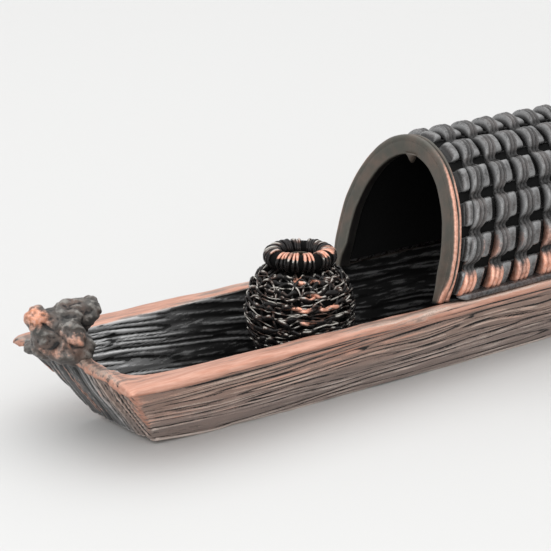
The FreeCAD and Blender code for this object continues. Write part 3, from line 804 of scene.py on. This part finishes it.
def make_rim(name, node, facing, seed):
    """One arch of the canopy: a flat face with a bead on its outer edge and a finer ridge behind it."""
    low, high = node_box(node)
    y, z, out = arch_sections(210, GUNWALE_TOP + 0.05)
    foot_x = low[0] if facing < 0 else high[0]
    outline = np.array(RIM_OUTLINE)
    lean = (z - GUNWALE_TOP) * END_LEAN
    above_foot = z - z.min()
    curl = 1 - ease(above_foot, 0.0, 5.0)
    out = mix(out, np.stack([np.sign(y), 0 * y], 1), (1 - ease(above_foot, 0.0, 3.0))[:, None])
    tremble = field(np.arange(len(z)) / 7.0, 3.0, seed) - 0.5
    rings = np.empty((len(z), len(outline), 3))
    for point, (back, radial) in enumerate(outline):
        wander = 0.14 * (field(np.arange(len(z)) / 9.0, point / 3.0, seed + 1) - 0.5)
        setting = back * (1 + 0.35 * curl) - 0.5 * curl + 0.10 * tremble
        reach = radial * (1 - 0.45 * curl) - 0.55 * curl + wander
        rings[:, point, 0] = foot_x - facing * (lean + setting)
        rings[:, point, 1] = y + out[:, 0] * reach
        rings[:, point, 2] = z + out[:, 1] * reach
    rings[..., 2] = np.maximum(rings[..., 2], GUNWALE_TOP + 0.03)
    rim = stack(name, rings)
    section, point = np.divmod(same_points(rim, rings), len(outline))
    bead = along_section(outline, BEAD_BACK, 0.42, -0.9)[point]
    groove = along_section(outline, GROOVE_BACK, 0.12, -0.9)[point]
    ridge = along_section(outline, RIDGE_BACK, 0.26, -0.7)[point]
    # Painted shade: the rim's back face and the underside of its inner edge are marked near black.
    behind = (outline[:, 0] > 1.95) | ((outline[:, 1] < -3.3) & (outline[:, 0] > 0.3))
    on_side = ease(np.abs(y), 6, 14)[section]
    foot = 0.5 * curl[section] * (outline[point, 1] > -1.5)
    rub = bead * mix(0.3, 1.05, on_side) + ridge * mix(0.1, 0.9, on_side) + foot - 0.05
    mark(rim, rub=rub, soot=0.95 * behind[point] + 0.8 * groove)
    mark_relief(rim, 0.25, 3)
    settle(rim, "rim", "canopy", "rim_metal", node)


def make_eyelet():
    """The drooping tab under the front rim's crown."""
    low, high = node_box("lantern_eyelet")
    centre = (low + high) / 2
    level = np.linspace(0, 1, 24)
    around = full_turn(32)
    width = 0.12 + 1.75 * (1 - level ** 1.4) * mix(1.0, 0.55, ease(level, 0.0, 0.45))
    thick = 0.85 * np.sqrt(1 - 0.96 * level ** 2)
    x = centre[0] + 0.1 + np.outer(thick, np.cos(around)) + 0.1 * level[:, None]
    y = np.outer(width, np.sin(around))
    z = np.broadcast_to(mix(high[2] + 0.25, high[2] - 1.5, level)[:, None], x.shape)
    tab = stack("lantern_nib", np.stack([x, y, z], 2))
    mark(tab, rub=0.15, soot=0.2)
    mark_relief(tab, 0.2, 4)
    settle(tab, "rim", "canopy", "rim_metal", "lantern_eyelet")


def pillow(distance, half, power=3.0):
    """A flat-topped bump over a distance from its middle."""
    return np.maximum(0.0, 1 - np.abs(distance / half) ** power)


def arch_length(inset, level):
    """Length of the inset arch from the ridge down to a level."""
    angle = np.linspace(0, foot_angle(level, inset), 2000)
    y = (ARCH_HALF - inset) * np.sin(angle)
    z = (ARCH_RISE - inset) * np.cos(angle)
    return float(np.hypot(np.diff(y), np.diff(z)).sum())


def row_offset(s):
    """Signed distance from the middle of the nearest row of the mat, larger towards the foot."""
    far = np.abs(s)
    return far - np.round(far / ROW_PITCH) * ROW_PITCH


def flat_hoop():
    """One ribbed hoop laid out flat: x across it, y along the arch, z out from the shell."""
    reach = arch_length(MAT_INSET, RAIL_TOP) + 0.2
    s = np.linspace(-reach, reach, 230)
    swell = pillow(row_offset(s) - 0.2, 2.7, 2.4)
    crest = 0.42 + 1.55 * swell
    across = np.linspace(-1.5, 1.5, 19)
    ribs = 0.13 * np.cos(2 * pi * across) - 0.16 * ease(np.abs(across), 1.25, 1.5) * 1.6
    width = 1 + 0.07 * swell
    top_x = across[None] * width[:, None]
    top_z = crest[:, None] + ribs[None]
    under_x = np.array([1.45, 0.7, -0.7, -1.45])[None] * width[:, None]
    under_z = np.broadcast_to((crest * 0.35 - 0.35)[:, None], under_x.shape)
    x = np.hstack([top_x, under_x])
    z = np.hstack([top_z, under_z])
    y = np.broadcast_to(s[:, None], x.shape)
    return stack("flat_hoop", np.stack([x, y, z], 2))


STRIP_REACH = CANOPY_HALF + 3.0
MAT_END = CANOPY_HALF - 2.25
# Further than any hoop lies, so that the hoops aren't drawn in at the mat's ends.
BEYOND_MAT = 500.0


def flat_strip():
    """One strip of the mat laid out flat: it swells into a block aft of each hoop and dips under the next."""
    u = np.linspace(-STRIP_REACH, STRIP_REACH, 330)
    after_hoop = np.mod(u - FIRST_HOOP, HOOP_PITCH)
    swell = pillow(after_hoop - 2.8, 1.5, 3.5)
    half = 2.0 + 0.2 * swell
    across = np.array([-1, -0.97, -0.86, -0.65, -0.35, 0, 0.35, 0.65, 0.86, 0.97, 1])
    shape = np.array([0, 0.45, 0.8, 0.94, 1.0, 1.03, 1.02, 0.97, 0.86, 0.5, 0])
    top_z = 0.1 + (0.1 + 1.05 * swell)[:, None] * shape[None]
    top_y = half[:, None] * across[None]
    under_y = np.array([1.4, -1.4])[None] * np.ones_like(half)[:, None]
    under_z = np.full_like(under_y, -0.35)
    y = np.hstack([top_y, under_y])
    z = np.hstack([top_z, under_z])
    x = np.broadcast_to(u[:, None], y.shape)
    return stack("flat_strip", np.stack([x, y, z], 2))


def make_arch_wrap():
    """A node group that bends flat places round the arch and fans them towards amidships.

    Places between Fixed Reach and Full Reach are drawn in, so that the last of them lie at End Reach.
    """
    inputs = {
        "Flat Place": ("Vector", None),
        "Arch Half": ("Float", 0.0),
        "Arch Rise": ("Float", 0.0),
        "Arch Centre": ("Float", 0.0),
        "Foot Level": ("Float", 0.0),
        "Fan": ("Float", 0.0),
        "Middle": ("Float", 0.0),
        "Fixed Reach": ("Float", 0.0),
        "Full Reach": ("Float", 0.0),
        "End Reach": ("Float", 0.0),
        "End Lean": ("Float", 0.0),
    }
    outputs = {"Place": ("Vector", None)}
    graph, given, out = new_group("wrap_round_arch", "GeometryNodeTree", inputs, outputs)
    scale = graph.node("ShaderNodeCombineXYZ", {"X": given["Arch Rise"], "Y": given["Arch Half"], "Z": 1.0})
    circle = graph.node("GeometryNodeCurvePrimitiveCircle", {"Resolution": 512, "Radius": 1.0})
    turned = {"Geometry": circle.outputs["Curve"], "Rotation": (0, 0, -pi / 2), "Scale": scale.outputs[0]}
    arch = graph.node("GeometryNodeTransform", turned).outputs[0]
    length = graph.node("GeometryNodeCurveLength", {"Curve": arch}).outputs[0]
    flat = graph.node("ShaderNodeSeparateXYZ", {0: given["Flat Place"]}).outputs
    travelled = graph.minus(graph.times(length, 0.5), flat["Y"])
    sample = graph.node("GeometryNodeSampleCurve", mode="LENGTH", data_type="FLOAT")
    graph.feed(sample.inputs["Curves"], arch)
    graph.feed(sample.inputs["Length"], travelled)
    point = graph.node("ShaderNodeSeparateXYZ", {0: sample.outputs["Position"]}).outputs
    tangent = graph.node("ShaderNodeSeparateXYZ", {0: sample.outputs["Tangent"]}).outputs
    port = graph.add(point["X"], graph.times(tangent["Y"], flat["Z"]))
    level = graph.add(given["Arch Centre"], point["Y"], graph.times(tangent["X"], flat["Z"], -1.0))
    narrowing = graph.minus(1.0, graph.times(graph.minus(level, given["Foot Level"]), given["Fan"]))
    base_level = graph.minus(graph.add(given["Arch Centre"], point["Y"]), given["Foot Level"])
    base_narrowing = graph.minus(1.0, graph.times(base_level, given["Fan"]))
    leaning_end = graph.minus(given["End Reach"], graph.times(base_level, given["End Lean"]))
    end = graph.over(leaning_end, base_narrowing)
    reach = graph.math("ABSOLUTE", flat["X"])
    beyond = graph.math("MAXIMUM", graph.minus(reach, given["Fixed Reach"]), 0.0)
    squeeze = graph.over(graph.minus(end, given["Fixed Reach"]),
                         graph.minus(given["Full Reach"], given["Fixed Reach"]))
    kept = graph.add(graph.math("MINIMUM", reach, given["Fixed Reach"]), graph.times(beyond, squeeze))
    fore_aft = graph.times(kept, graph.math("SIGN", flat["X"]))
    x = graph.add(given["Middle"], graph.times(fore_aft, narrowing))
    place = graph.node("ShaderNodeCombineXYZ", {"X": x, "Y": port, "Z": level})
    graph.feed(out.inputs["Place"], place.outputs[0])
    return graph.tree


ARCH_WRAP = make_arch_wrap()
WRAP_SIZES = {
    "Arch Half": (ARCH_HALF - MAT_INSET) * METRES,
    "Arch Rise": (ARCH_RISE - MAT_INSET) * METRES,
    "Arch Centre": ARCH_CENTRE * METRES,
    "Foot Level": GUNWALE_TOP * METRES,
    "Fan": HOOP_FAN / METRES,
    "Middle": HULL_CENTRE * METRES,
    "End Lean": END_LEAN,
}


def make_mat_tree():
    """Lays out copies of one flat piece in a line, each a little different, and wraps them round the arch."""
    inputs = {
        "Flat Piece": ("Geometry", None),
        "Count": ("Int", 1),
        "First": ("Vector", None),
        "Step": ("Vector", None),
        "Unevenness": ("Float", 0.0),
        "Seed": ("Int", 1),
        "Fixed Reach": ("Float", 1.0),
        "Full Reach": ("Float", 2.0),
        "End Reach": ("Float", 2.0),
        "Finish": ("Material", None),
    }
    inputs.update({label: ("Float", 0.0) for label in WRAP_SIZES})
    outputs = {"Geometry": ("Geometry", None)}
    graph, given, out = new_group("woven_mat", "GeometryNodeTree", inputs, outputs)
    graph.tree.is_modifier = True
    line = {"Count": given["Count"], "Start Location": given["First"], "Offset": given["Step"]}
    points = graph.node("GeometryNodeMeshLine", line, mode="OFFSET").outputs["Mesh"]
    copies = graph.node("GeometryNodeInstanceOnPoints", {"Points": points, "Instance": given["Flat Piece"]})
    whole = graph.node("GeometryNodeRealizeInstances", {"Geometry": copies.outputs[0]}).outputs[0]
    place = graph.node("GeometryNodeInputPosition").outputs[0]
    cloud = {"W": given["Seed"], "Vector": place, "Scale": 260.0, "Detail": 2.0}
    lumps = graph.node("ShaderNodeTexNoise", cloud, noise_dimensions="4D").outputs["Color"]
    half = (0.5, 0.5, 0.5)
    shift = graph.node("ShaderNodeVectorMath", {0: lumps, 1: half}, operation="SUBTRACT").outputs[0]
    sized = {0: shift, "Scale": given["Unevenness"]}
    scaled = graph.node("ShaderNodeVectorMath", sized, operation="SCALE").outputs[0]
    uneven = graph.node("ShaderNodeVectorMath", {0: place, 1: scaled}, operation="ADD").outputs[0]
    wrap = graph.node("GeometryNodeGroup", node_tree=ARCH_WRAP)
    graph.feed(wrap.inputs["Flat Place"], uneven)
    for label in [*WRAP_SIZES, "Fixed Reach", "Full Reach", "End Reach"]:
        graph.feed(wrap.inputs[label], given[label])
    moved = graph.node("GeometryNodeSetPosition", {"Geometry": whole, "Position": wrap.outputs[0]}).outputs[0]
    solid = graph.node("GeometryNodeRealizeInstances", {"Geometry": moved}).outputs[0]
    done = graph.node("GeometryNodeSetMaterial", {"Geometry": solid, "Material": given["Finish"]}).outputs[0]
    graph.feed(out.inputs["Geometry"], done)
    return graph.tree


MAT_TREE = make_mat_tree()


def run_tree(thing, tree, name, values):
    """Runs a geometry tree on an object and returns the plain mesh object that it makes."""
    modifier = thing.modifiers.new("made", "NODES")
    modifier.node_group = tree
    sockets = {item.name: item.identifier for item in tree.interface.items_tree if item.in_out == "INPUT"}
    for label, value in values.items():
        modifier[sockets[label]] = value
    return baked(thing, name)


def lay_mat(flat, name, **values):
    """Copies of a flat piece wrapped round the arch, as one object."""
    lengths = {label.replace("_", " "): np.multiply(value, METRES).tolist() for label, value in values.items()
               if label not in ("Count", "Seed")}
    numbers = {"Count": values["Count"], "Seed": values["Seed"], "Finish": FINISHES["mat"]}
    return run_tree(flat, MAT_TREE, name, {**lengths, **numbers, **WRAP_SIZES})


def settle_mat(thing, node, count, lift):
    """Wear of the mat: bare copper low down and in patches; black where it lies near the shell, which is
    painted shade in the weave's gaps.
    """
    x, y, z = positions(thing).T
    low = 0.95 * (1 - ease(z, GUNWALE_TOP + 3.5, GUNWALE_TOP + 7.5))
    second = 0.5 * (1 - ease(z, GUNWALE_TOP + 8, GUNWALE_TOP + 15))
    patch = field(x / 4.0, z / 4.5 + 40 * (y > 0), 131) - 0.5
    # Painted shade: the parts of the weave that lie near the shell are marked black.
    stand_off = np.hypot(y / (ARCH_HALF - MAT_INSET), (z - ARCH_CENTRE) / (ARCH_RISE - MAT_INSET)) - 1
    soot = 0.97 * (1 - ease(stand_off * 18, 0.35, 1.15))
    mark(thing, rub=lift + np.maximum(low, second) + 0.45 * patch - 0.2, soot=soot, cold=0.75)
    mark_relief(thing, 0.26, 5)
    nodes = ["%s_%02d" % (node, number) for number in range(1, count + 1)]
    settle(thing, "mat", "canopy", "mat_metal", *nodes)


def make_mat():
    """The woven mat: ribbed hoops over fore-and-aft strips."""
    hoops = lay_mat(flat_hoop(), "canopy_hoops", Count=HOOP_COUNT, Seed=4, Unevenness=0.5,
                    First=(FIRST_HOOP, 0, 0), Step=(HOOP_PITCH, 0, 0),
                    Fixed_Reach=BEYOND_MAT, Full_Reach=2 * BEYOND_MAT, End_Reach=BEYOND_MAT)
    strips = lay_mat(flat_strip(), "canopy_strips", Count=ROW_COUNT, Seed=9, Unevenness=0.45,
                     First=(0, FIRST_ROW, 0), Step=(0, ROW_PITCH, 0),
                     Fixed_Reach=MAT_END - 3.0, Full_Reach=STRIP_REACH, End_Reach=MAT_END)
    settle_mat(hoops, "canopy_hoop", HOOP_COUNT, 0.0)
    settle_mat(strips, "canopy_strip", ROW_COUNT, -0.75)


def make_rail(node, name):
    """The dark rail along the mat's foot, with rounded ends."""
    low, high = node_box(node)
    share = np.linspace(0, 1, 190)
    x = mix(low[0], high[0], share)
    from_end = np.minimum(x - low[0], high[0] - x)
    taper = np.sqrt(np.clip(from_end / 1.3, 0.004, 1))
    around = full_turn(20)
    square = np.sign(np.cos(around)) * np.abs(np.cos(around)) ** 0.55
    round_up = np.sign(np.sin(around)) * np.abs(np.sin(around)) ** 0.7
    half_y, half_z = (high[1] - low[1]) / 2 * 1.05, (high[2] - low[2]) / 2
    wander = 0.25 * (field(x / 8, 1.0, 141) - 0.5)
    y = (low[1] + high[1]) / 2 + wander[:, None] + np.outer(taper * half_y, square)
    z = (low[2] + high[2]) / 2 + np.outer(taper * half_z, round_up)
    rail = stack(name, np.stack([np.broadcast_to(x[:, None], y.shape), y, z], 2))
    mark(rail, rub=-0.1, soot=0.35)
    mark_relief(rail, 0.2, 4)
    settle(rail, "mat", "canopy", "mat_metal", node)


# ---------------------------------------------------------------- fish basket
BASKET_LEVELS = [2.3, 3.25, 6.2, 10.2, 13.6, 15.6, 18.6, 20.8, 21.9, 24.0]
BASKET_RADII = [5.2, 5.4, 7.1, 8.8, 9.4, 9.2, 8.5, 7.0, 5.0, 4.2]
BASKET_NECK = 22.6
WEAVE_FOOT = 3.4
STAKE_COUNT = 18
WEAVE_ROWS = 9
STRANDS_PER_ROW = 3
LOOP_COUNT = 14
STRAND_RADIUS = 0.3
RING_POINTS = 260
# Where strands are rubbed to bare copper: an angle round the basket and a height.
WORN_STRANDS = [(-2.25, 20.7), (-1.9, 20.9), (-1.98, 18.8), (-2.28, 16.7), (-2.1, 14.4), (-1.6, 16.6)]


def basket_radius(level):
    return np.interp(level, BASKET_LEVELS, BASKET_RADII)


def round_basket(angle, radius, level):
    """Places round the basket's axis."""
    angle, radius, level = np.broadcast_arrays(angle, radius, level)
    return np.stack([BASKET_X + radius * np.cos(angle), radius * np.sin(angle), level], -1)


def seen_from_axis(thing):
    """Each vertex's angle round the basket's axis, its distance from the axis and its height."""
    x, y, z = positions(thing).T
    return np.arctan2(y, x - BASKET_X), np.hypot(x - BASKET_X, y), z


def crest_light(thing, seed, low, high, rise):
    """Paints a highlight: a thin broken line along the outer side of each strand is marked proud, which takes
    the pale colour, and the rest deep, which takes the dark colour as painted shade.
    """
    angle, _, level = seen_from_axis(thing)
    outward = np.stack([np.cos(angle), np.sin(angle), np.full_like(angle, rise)], 1) / np.hypot(1, rise)
    facing = np.einsum("ij,ij->i", normals(thing), outward)
    broken = ease(rough_field(angle * 6 + 30, level * 1.3, seed, 2), 0.36, 0.6)
    mark(thing, relief=mix(-0.5, 1.0, ease(facing, low, high) * broken))


def make_basket_core():
    """The black inner wall that shows between the strands; its black is partly painted shade."""
    level = np.linspace(BASKET_LEVELS[0], BASKET_NECK, 40)[:, None]
    core = stack("basket_core", round_basket(full_turn(72)[None], basket_radius(level) - 1.05, level))
    mark(core, rub=-0.8, soot=1.0, relief=0.0)
    settle(core, "lining", "basket", "basket_metal", "basket_body", "basket_foot_plug")


def make_stakes():
    """The upright stakes that the weavers pass round."""
    stakes = []
    level = np.linspace(2.6, BASKET_NECK, 60)
    for number in range(STAKE_COUNT):
        drift = 0.28 * (field(level / 3.0, number * 7.3, 151) - 0.5)
        radius = basket_radius(level) - 0.5 + 0.35 * (field(level / 2.0, number * 3.1, 161) - 0.5)
        path = round_basket(2 * pi * number / STAKE_COUNT + drift, radius, level)
        stakes.append(tube_rings(path, round_ends(path, STRAND_RADIUS), 7))
    thing = bundle("basket_stakes", stakes)
    mark(thing, rub=-0.3, soot=0.0)
    # Painted highlight: a thin broken line along the stakes' outward, upward side is marked pale and the rest
    # dark.
    crest_light(thing, 165, 0.85, 1.0, 0.55)
    settle(thing, "basket", "basket", "basket_metal")


def ring_field(around, rate, row, seed):
    """A random field round the basket that comes back to its own start."""
    return mix(field(around * rate, row, seed), field(0.0, row, seed), ease(around, 5.8, 6.28))


def weaver_strand(number, strand, level):
    """One strand of a row of weaving: it winds in and out of the stakes, and is taller than it is thick."""
    around = full_turn(RING_POINTS)
    seed = 170 + 10 * number + strand
    wave, ripple = ring_field(around, 2.6, 0.0, seed), ring_field(around, 9.0, 5.0, seed)
    weave = around * STAKE_COUNT / 2 + pi * (number + strand) + 1.2 * wave
    place_in_row = (strand - 1) * (0.3 + 0.2 * np.sin(weave))
    height = np.maximum(level + 1.1 * (wave - 0.5) + 0.6 * (ripple - 0.5) + place_in_row, 2.7)
    radius = basket_radius(height) - 0.15 + 0.42 * np.cos(weave) + 0.3 * (ripple - 0.5)
    path = round_basket(around, radius, height)
    rings = tube_rings(path, 0.15 + 0.24 * ripple + 0.05 * np.cos(weave), 7, closed=True)
    middle = np.vstack([path, path[:1]])[:, None]
    return middle + (rings - middle) * [0.75, 0.75, 1.4]


def make_weavers():
    """The rows of weaving, with some strands rubbed to bare copper, painted shade where they lie inward and a
    painted highlight along their outer side.
    """
    strands = []
    for number, level in enumerate(np.linspace(WEAVE_FOOT, 20.9, WEAVE_ROWS)):
        strands += [weaver_strand(number, strand, level) for strand in range(STRANDS_PER_ROW)]
    thing = bundle("basket_weavers", strands, caps=False)
    angle, distance, z = seen_from_axis(thing)
    patch = ease(field(angle * 3.0 + 20, z / 1.5, 201), 0.66, 0.84) * ease(z, 9, 15)
    worn = [np.exp(-((angle - turn) / 0.22) ** 2 - ((z - level) / 0.7) ** 2) for turn, level in WORN_STRANDS]
    # Painted shade: strands are marked darker where they lie inward of the basket's outline.
    mark(thing, rub=-0.3 + 0.5 * patch + 1.3 * np.max(worn, axis=0),
         soot=0.9 * ease(basket_radius(z) - distance, 0.0, 0.8))
    crest_light(thing, 205, 0.8, 0.99, 1.2)
    nodes = ["basket_weaver_%02d" % number for number in range(1, 9)]
    settle(thing, "basket", "basket", "basket_metal", *nodes)


def make_fibres():
    """Thin loose fibres over the rows."""
    around = full_turn(RING_POINTS)
    count = 2 * WEAVE_ROWS
    fibres = []
    for number in range(count):
        seed = 400 + 3 * number
        wave, ripple = ring_field(around, 2.2, 0.0, seed), ring_field(around, 8.0, 5.0, seed)
        level = mix(WEAVE_FOOT, 21.4, (number + 0.5) / count)
        height = np.maximum(level + 1.6 * (wave - 0.5) + 0.8 * (ripple - 0.5), 2.6)
        radius = basket_radius(height) + 0.1 + 1.1 * (ripple - 0.55)
        fibres.append(tube_rings(round_basket(around, radius, height), 0.1 + 0.07 * wave, 5, closed=True))
    thing = bundle("basket_fibres", fibres, caps=False)
    angle, _, z = seen_from_axis(thing)
    # Painted highlight: random stretches of each fibre are marked proud so that they take the pale glint
    # colour; the rest are marked deep.
    mark(thing, rub=-0.3, soot=0.0, relief=field(angle * 9 + 40, z, 235) * 1.7 - 0.5)
    settle(thing, "basket", "basket", "basket_metal")


def make_shoulder_loops():
    """The strand ends that are turned over in loops on the basket's shoulder."""
    chance = np.random.default_rng(17)
    turn = np.linspace(-1, 1, 26)
    loops = []
    for number in range(LOOP_COUNT):
        middle = 2 * pi * (number + 0.4 * chance.random()) / LOOP_COUNT
        angle = middle + (0.2 + 0.12 * chance.random()) * turn
        high = 0.75 + 0.4 * chance.random()
        level = 18.2 + 2.8 * np.sqrt(np.clip(1 - turn ** 2, 0, 1)) * high
        path = round_basket(angle, basket_radius(level) + 0.35 - 0.5 * np.abs(turn) ** 4, level)
        loops.append(tube_rings(path, round_ends(path, STRAND_RADIUS), 7))
    thing = bundle("basket_shoulder_loops", loops)
    angle, _, _ = seen_from_axis(thing)
    mark(thing, rub=-0.2 + 0.9 * (field(angle * 3 + 9, 1.0, 211) - 0.45), soot=0.0)
    # Painted highlight: a thin broken line along the loops' outward, upward side is marked pale and the rest
    # dark.
    crest_light(thing, 215, 0.72, 0.98, 0.55)
    settle(thing, "basket", "basket", "basket_metal")


# ---------------------------------------------------------------- collar
COLLAR_OUTER = 6.5
COLLAR_MOUTH = 2.9
COLLAR_MIDDLE = (COLLAR_OUTER + COLLAR_MOUTH) / 2
COLLAR_LEVEL = (COLLAR_LOW[2] + COLLAR_HIGH[2]) / 2
ROLL_RADIUS = 1.38
ROLL_SIDES = 18
LASHING_COUNT = 13
WRAPS_PER_LASHING = 3
WRAP_PITCH = 0.62


def flat_lashing():
    """A bundle of wraps round the collar's roll, at the start of the ring: x outward, y along the ring."""
    turn = full_turn(34)
    wraps = []
    for number in range(WRAPS_PER_LASHING):
        along = (number - (WRAPS_PER_LASHING - 1) / 2) * WRAP_PITCH
        x = COLLAR_MIDDLE + 1.52 * np.cos(turn)
        y = along * (0.35 + 0.65 * (x / COLLAR_MIDDLE)) + 0.16 * np.sin(turn + number)
        path = np.stack([x, y, 1.46 * np.sin(turn)], 1)
        wraps.append(tube_rings(path, 0.28 + 0.05 * np.sin(2 * turn + 2 * number), 7, closed=True))
    return bundle("flat_lashing", wraps, caps=False)


def make_lashing_tree():
    """Sets copies of one lashing round a ring, each tilted and sized a little differently."""
    inputs = {
        "Lashing": ("Geometry", None),
        "Count": ("Int", 9),
        "Centre": ("Vector", None),
        "Size Spread": ("Float", 0.1),
        "Tilt": ("Float", 0.1),
        "Seed": ("Int", 3),
        "Finish": ("Material", None),
    }
    outputs = {"Geometry": ("Geometry", None)}
    graph, given, out = new_group("collar_lashings", "GeometryNodeTree", inputs, outputs)
    graph.tree.is_modifier = True
    gathered = {"Count": given["Count"], "Offset": (0, 0, 0)}
    line = graph.node("GeometryNodeMeshLine", gathered, mode="OFFSET")
    number = graph.node("GeometryNodeInputIndex").outputs[0]
    turn = graph.times(graph.over(number, given["Count"]), 2 * pi)
    size_draw = {"Seed": given["Seed"], "ID": number}
    spread = graph.node("FunctionNodeRandomValue", size_draw, data_type="FLOAT").outputs[1]
    tilt_draw = {"Seed": graph.add(given["Seed"], 7), "ID": number}
    sway = graph.node("FunctionNodeRandomValue", tilt_draw, data_type="FLOAT").outputs[1]
    tilt = graph.times(graph.minus(sway, 0.5), given["Tilt"])
    rotation = graph.node("ShaderNodeCombineXYZ", {"X": graph.times(tilt, 0.3), "Z": graph.add(turn, tilt)})
    size = graph.add(1.0, graph.times(graph.minus(spread, 0.5), given["Size Spread"]))
    scale = graph.node("ShaderNodeCombineXYZ", {"X": 1.0, "Y": size, "Z": size})
    copies = graph.node("GeometryNodeInstanceOnPoints", {
        "Points": line.outputs["Mesh"], "Instance": given["Lashing"],
        "Rotation": rotation.outputs[0], "Scale": scale.outputs[0],
    })
    lift = {"Geometry": copies.outputs[0], "Translation": given["Centre"]}
    moved = graph.node("GeometryNodeTransform", lift)
    solid = graph.node("GeometryNodeRealizeInstances", {"Geometry": moved.outputs[0]}).outputs[0]
    done = graph.node("GeometryNodeSetMaterial", {"Geometry": solid, "Material": given["Finish"]}).outputs[0]
    graph.feed(out.inputs["Geometry"], done)
    return graph.tree


def make_lashings():
    """Bundles of wraps round the collar, rubbed to copper on the side that is handled, with painted shade on
    their lower halves and a painted highlight along their tops.
    """
    thing = run_tree(flat_lashing(), make_lashing_tree(), "collar_lashings", {
        "Count": LASHING_COUNT,
        "Centre": (BASKET_X * METRES, 0, COLLAR_LEVEL * METRES),
        "Size Spread": 0.12,
        "Tilt": 0.22,
        "Seed": 5,
        "Finish": FINISHES["basket"],
    })
    angle, distance, z = seen_from_axis(thing)
    above = z - COLLAR_LEVEL
    handled = ease(-distance * (np.sin(angle) + 0.35 * np.cos(angle)), 0.0, 4.0)
    patch = field(angle * 5 + 20, 2.0, 221) - 0.5
    # Painted shade: the wraps are marked dark below about the roll's middle.
    mark(thing, rub=-0.3 + (handled + 0.3 + 1.1 * patch) * ease(above, 0.35, 1.2),
         soot=0.9 * ease(-above, -0.4, 1.0))
    crest_light(thing, 225, 0.35, 0.85, 2.5)
    settle(thing, "basket", "basket", "basket_metal", "basket_collar")


def make_roll():
    """The dark roll inside the lashings, near black partly as painted shade under the wraps."""
    path = round_basket(full_turn(96), COLLAR_MIDDLE, COLLAR_LEVEL)
    roll = stack("collar_roll", tube_rings(path, ROLL_RADIUS, ROLL_SIDES, closed=True), caps=False)
    mark(roll, rub=-0.5, soot=0.95, relief=0.0)
    settle(roll, "lining", "basket", "basket_metal")


# ---------------------------------------------------------------- carried-over pieces
def finish_carried_pieces():
    """Gives the CAD nodes that are shown as they are their finishes."""
    # The canopy shell takes the near-black lining, which is partly painted shade in the tunnel and in the
    # mat's gaps.
    carried = {"canopy_shell": "lining", "incense_ferrule": "ferrule", "locating_dowels": "steel"}
    for node, finish in carried.items():
        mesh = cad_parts[node].data
        mesh.materials.clear()
        mesh.materials.append(FINISHES[finish])


# ---------------------------------------------------------------- floor, light and camera
FLOOR_REACH = 3.0
CAMERA_LENS = 139.38
CAMERA_SENSOR = 36.0
CAMERA_PLACE = (-0.283907, -0.278528, 0.129387)
CAMERA_DIP = 0.2960
CAMERA_TURN = -0.6688


def make_stage():
    """A plain pale floor."""
    corners = [(-1, -1), (1, -1), (1, 1), (-1, 1)]
    mesh = bpy.data.meshes.new("floor")
    mesh.from_pydata([(x * FLOOR_REACH, y * FLOOR_REACH, 0) for x, y in corners], [], [(0, 1, 2, 3)])
    floor = bpy.data.objects.new("floor", mesh)
    bpy.context.scene.collection.objects.link(floor)
    material = bpy.data.materials.new("pale_floor")
    material.use_nodes = True
    surface = material.node_tree.nodes["Principled BSDF"]
    surface.inputs["Base Color"].default_value = colour(0.57, 0.57, 0.565)
    surface.inputs["Roughness"].default_value = 0.7
    mesh.materials.append(material)


def add_light(name, place, target, size, power):
    """A square area light; places and size are in metres."""
    data = bpy.data.lights.new(name, "AREA")
    data.shape = "SQUARE"
    data.size = size
    data.energy = power
    light = bpy.data.objects.new(name, data)
    light.location = place
    light.rotation_euler = (Vector(target) - Vector(place)).to_track_quat("-Z", "Y").to_euler()
    bpy.context.scene.collection.objects.link(light)


def make_lights():
    """A soft pale studio with one large light overhead and two weaker ones in front."""
    world = bpy.data.worlds.new("studio")
    world.use_nodes = True
    sky = world.node_tree.nodes["Background"]
    sky.inputs["Color"].default_value = colour(1, 1, 1)
    sky.inputs["Strength"].default_value = 0.87
    bpy.context.scene.world = world
    add_light("overhead", (0.1, 0.3, 1.3), (0.1, 0.3, 0), 2.4, 18.5)
    add_light("window", (-0.9, -0.4, 0.6), (-0.05, 0, 0.02), 0.5, 1.6)
    add_light("front_fill", (-0.6, -0.8, 0.55), (-0.05, 0, 0), 0.9, 3.9)


def make_camera():
    data = bpy.data.cameras.new("camera")
    data.lens = CAMERA_LENS
    data.sensor_width = CAMERA_SENSOR
    data.clip_start, data.clip_end = 0.01, 20.0
    camera = bpy.data.objects.new("camera", data)
    camera.location = CAMERA_PLACE
    camera.rotation_euler = (pi / 2 - CAMERA_DIP, 0.0, CAMERA_TURN)
    bpy.context.scene.collection.objects.link(camera)
    bpy.context.scene.camera = camera


# ---------------------------------------------------------------- build
make_camera()
make_lights()
make_stage()
make_hull()
make_knot()
make_rim("canopy_front_rim", "front_rim", -1, 301)
make_rim("canopy_rear_rim", "rear_rim", 1, 311)
make_eyelet()
make_mat()
make_rail("foot_rail_port", "port_rail")
make_rail("foot_rail_starboard", "starboard_rail")
make_basket_core()
make_stakes()
make_weavers()
make_fibres()
make_shoulder_loops()
make_lashings()
make_roll()
finish_carried_pieces()
bpy.context.scene.view_settings.view_transform = "Standard"
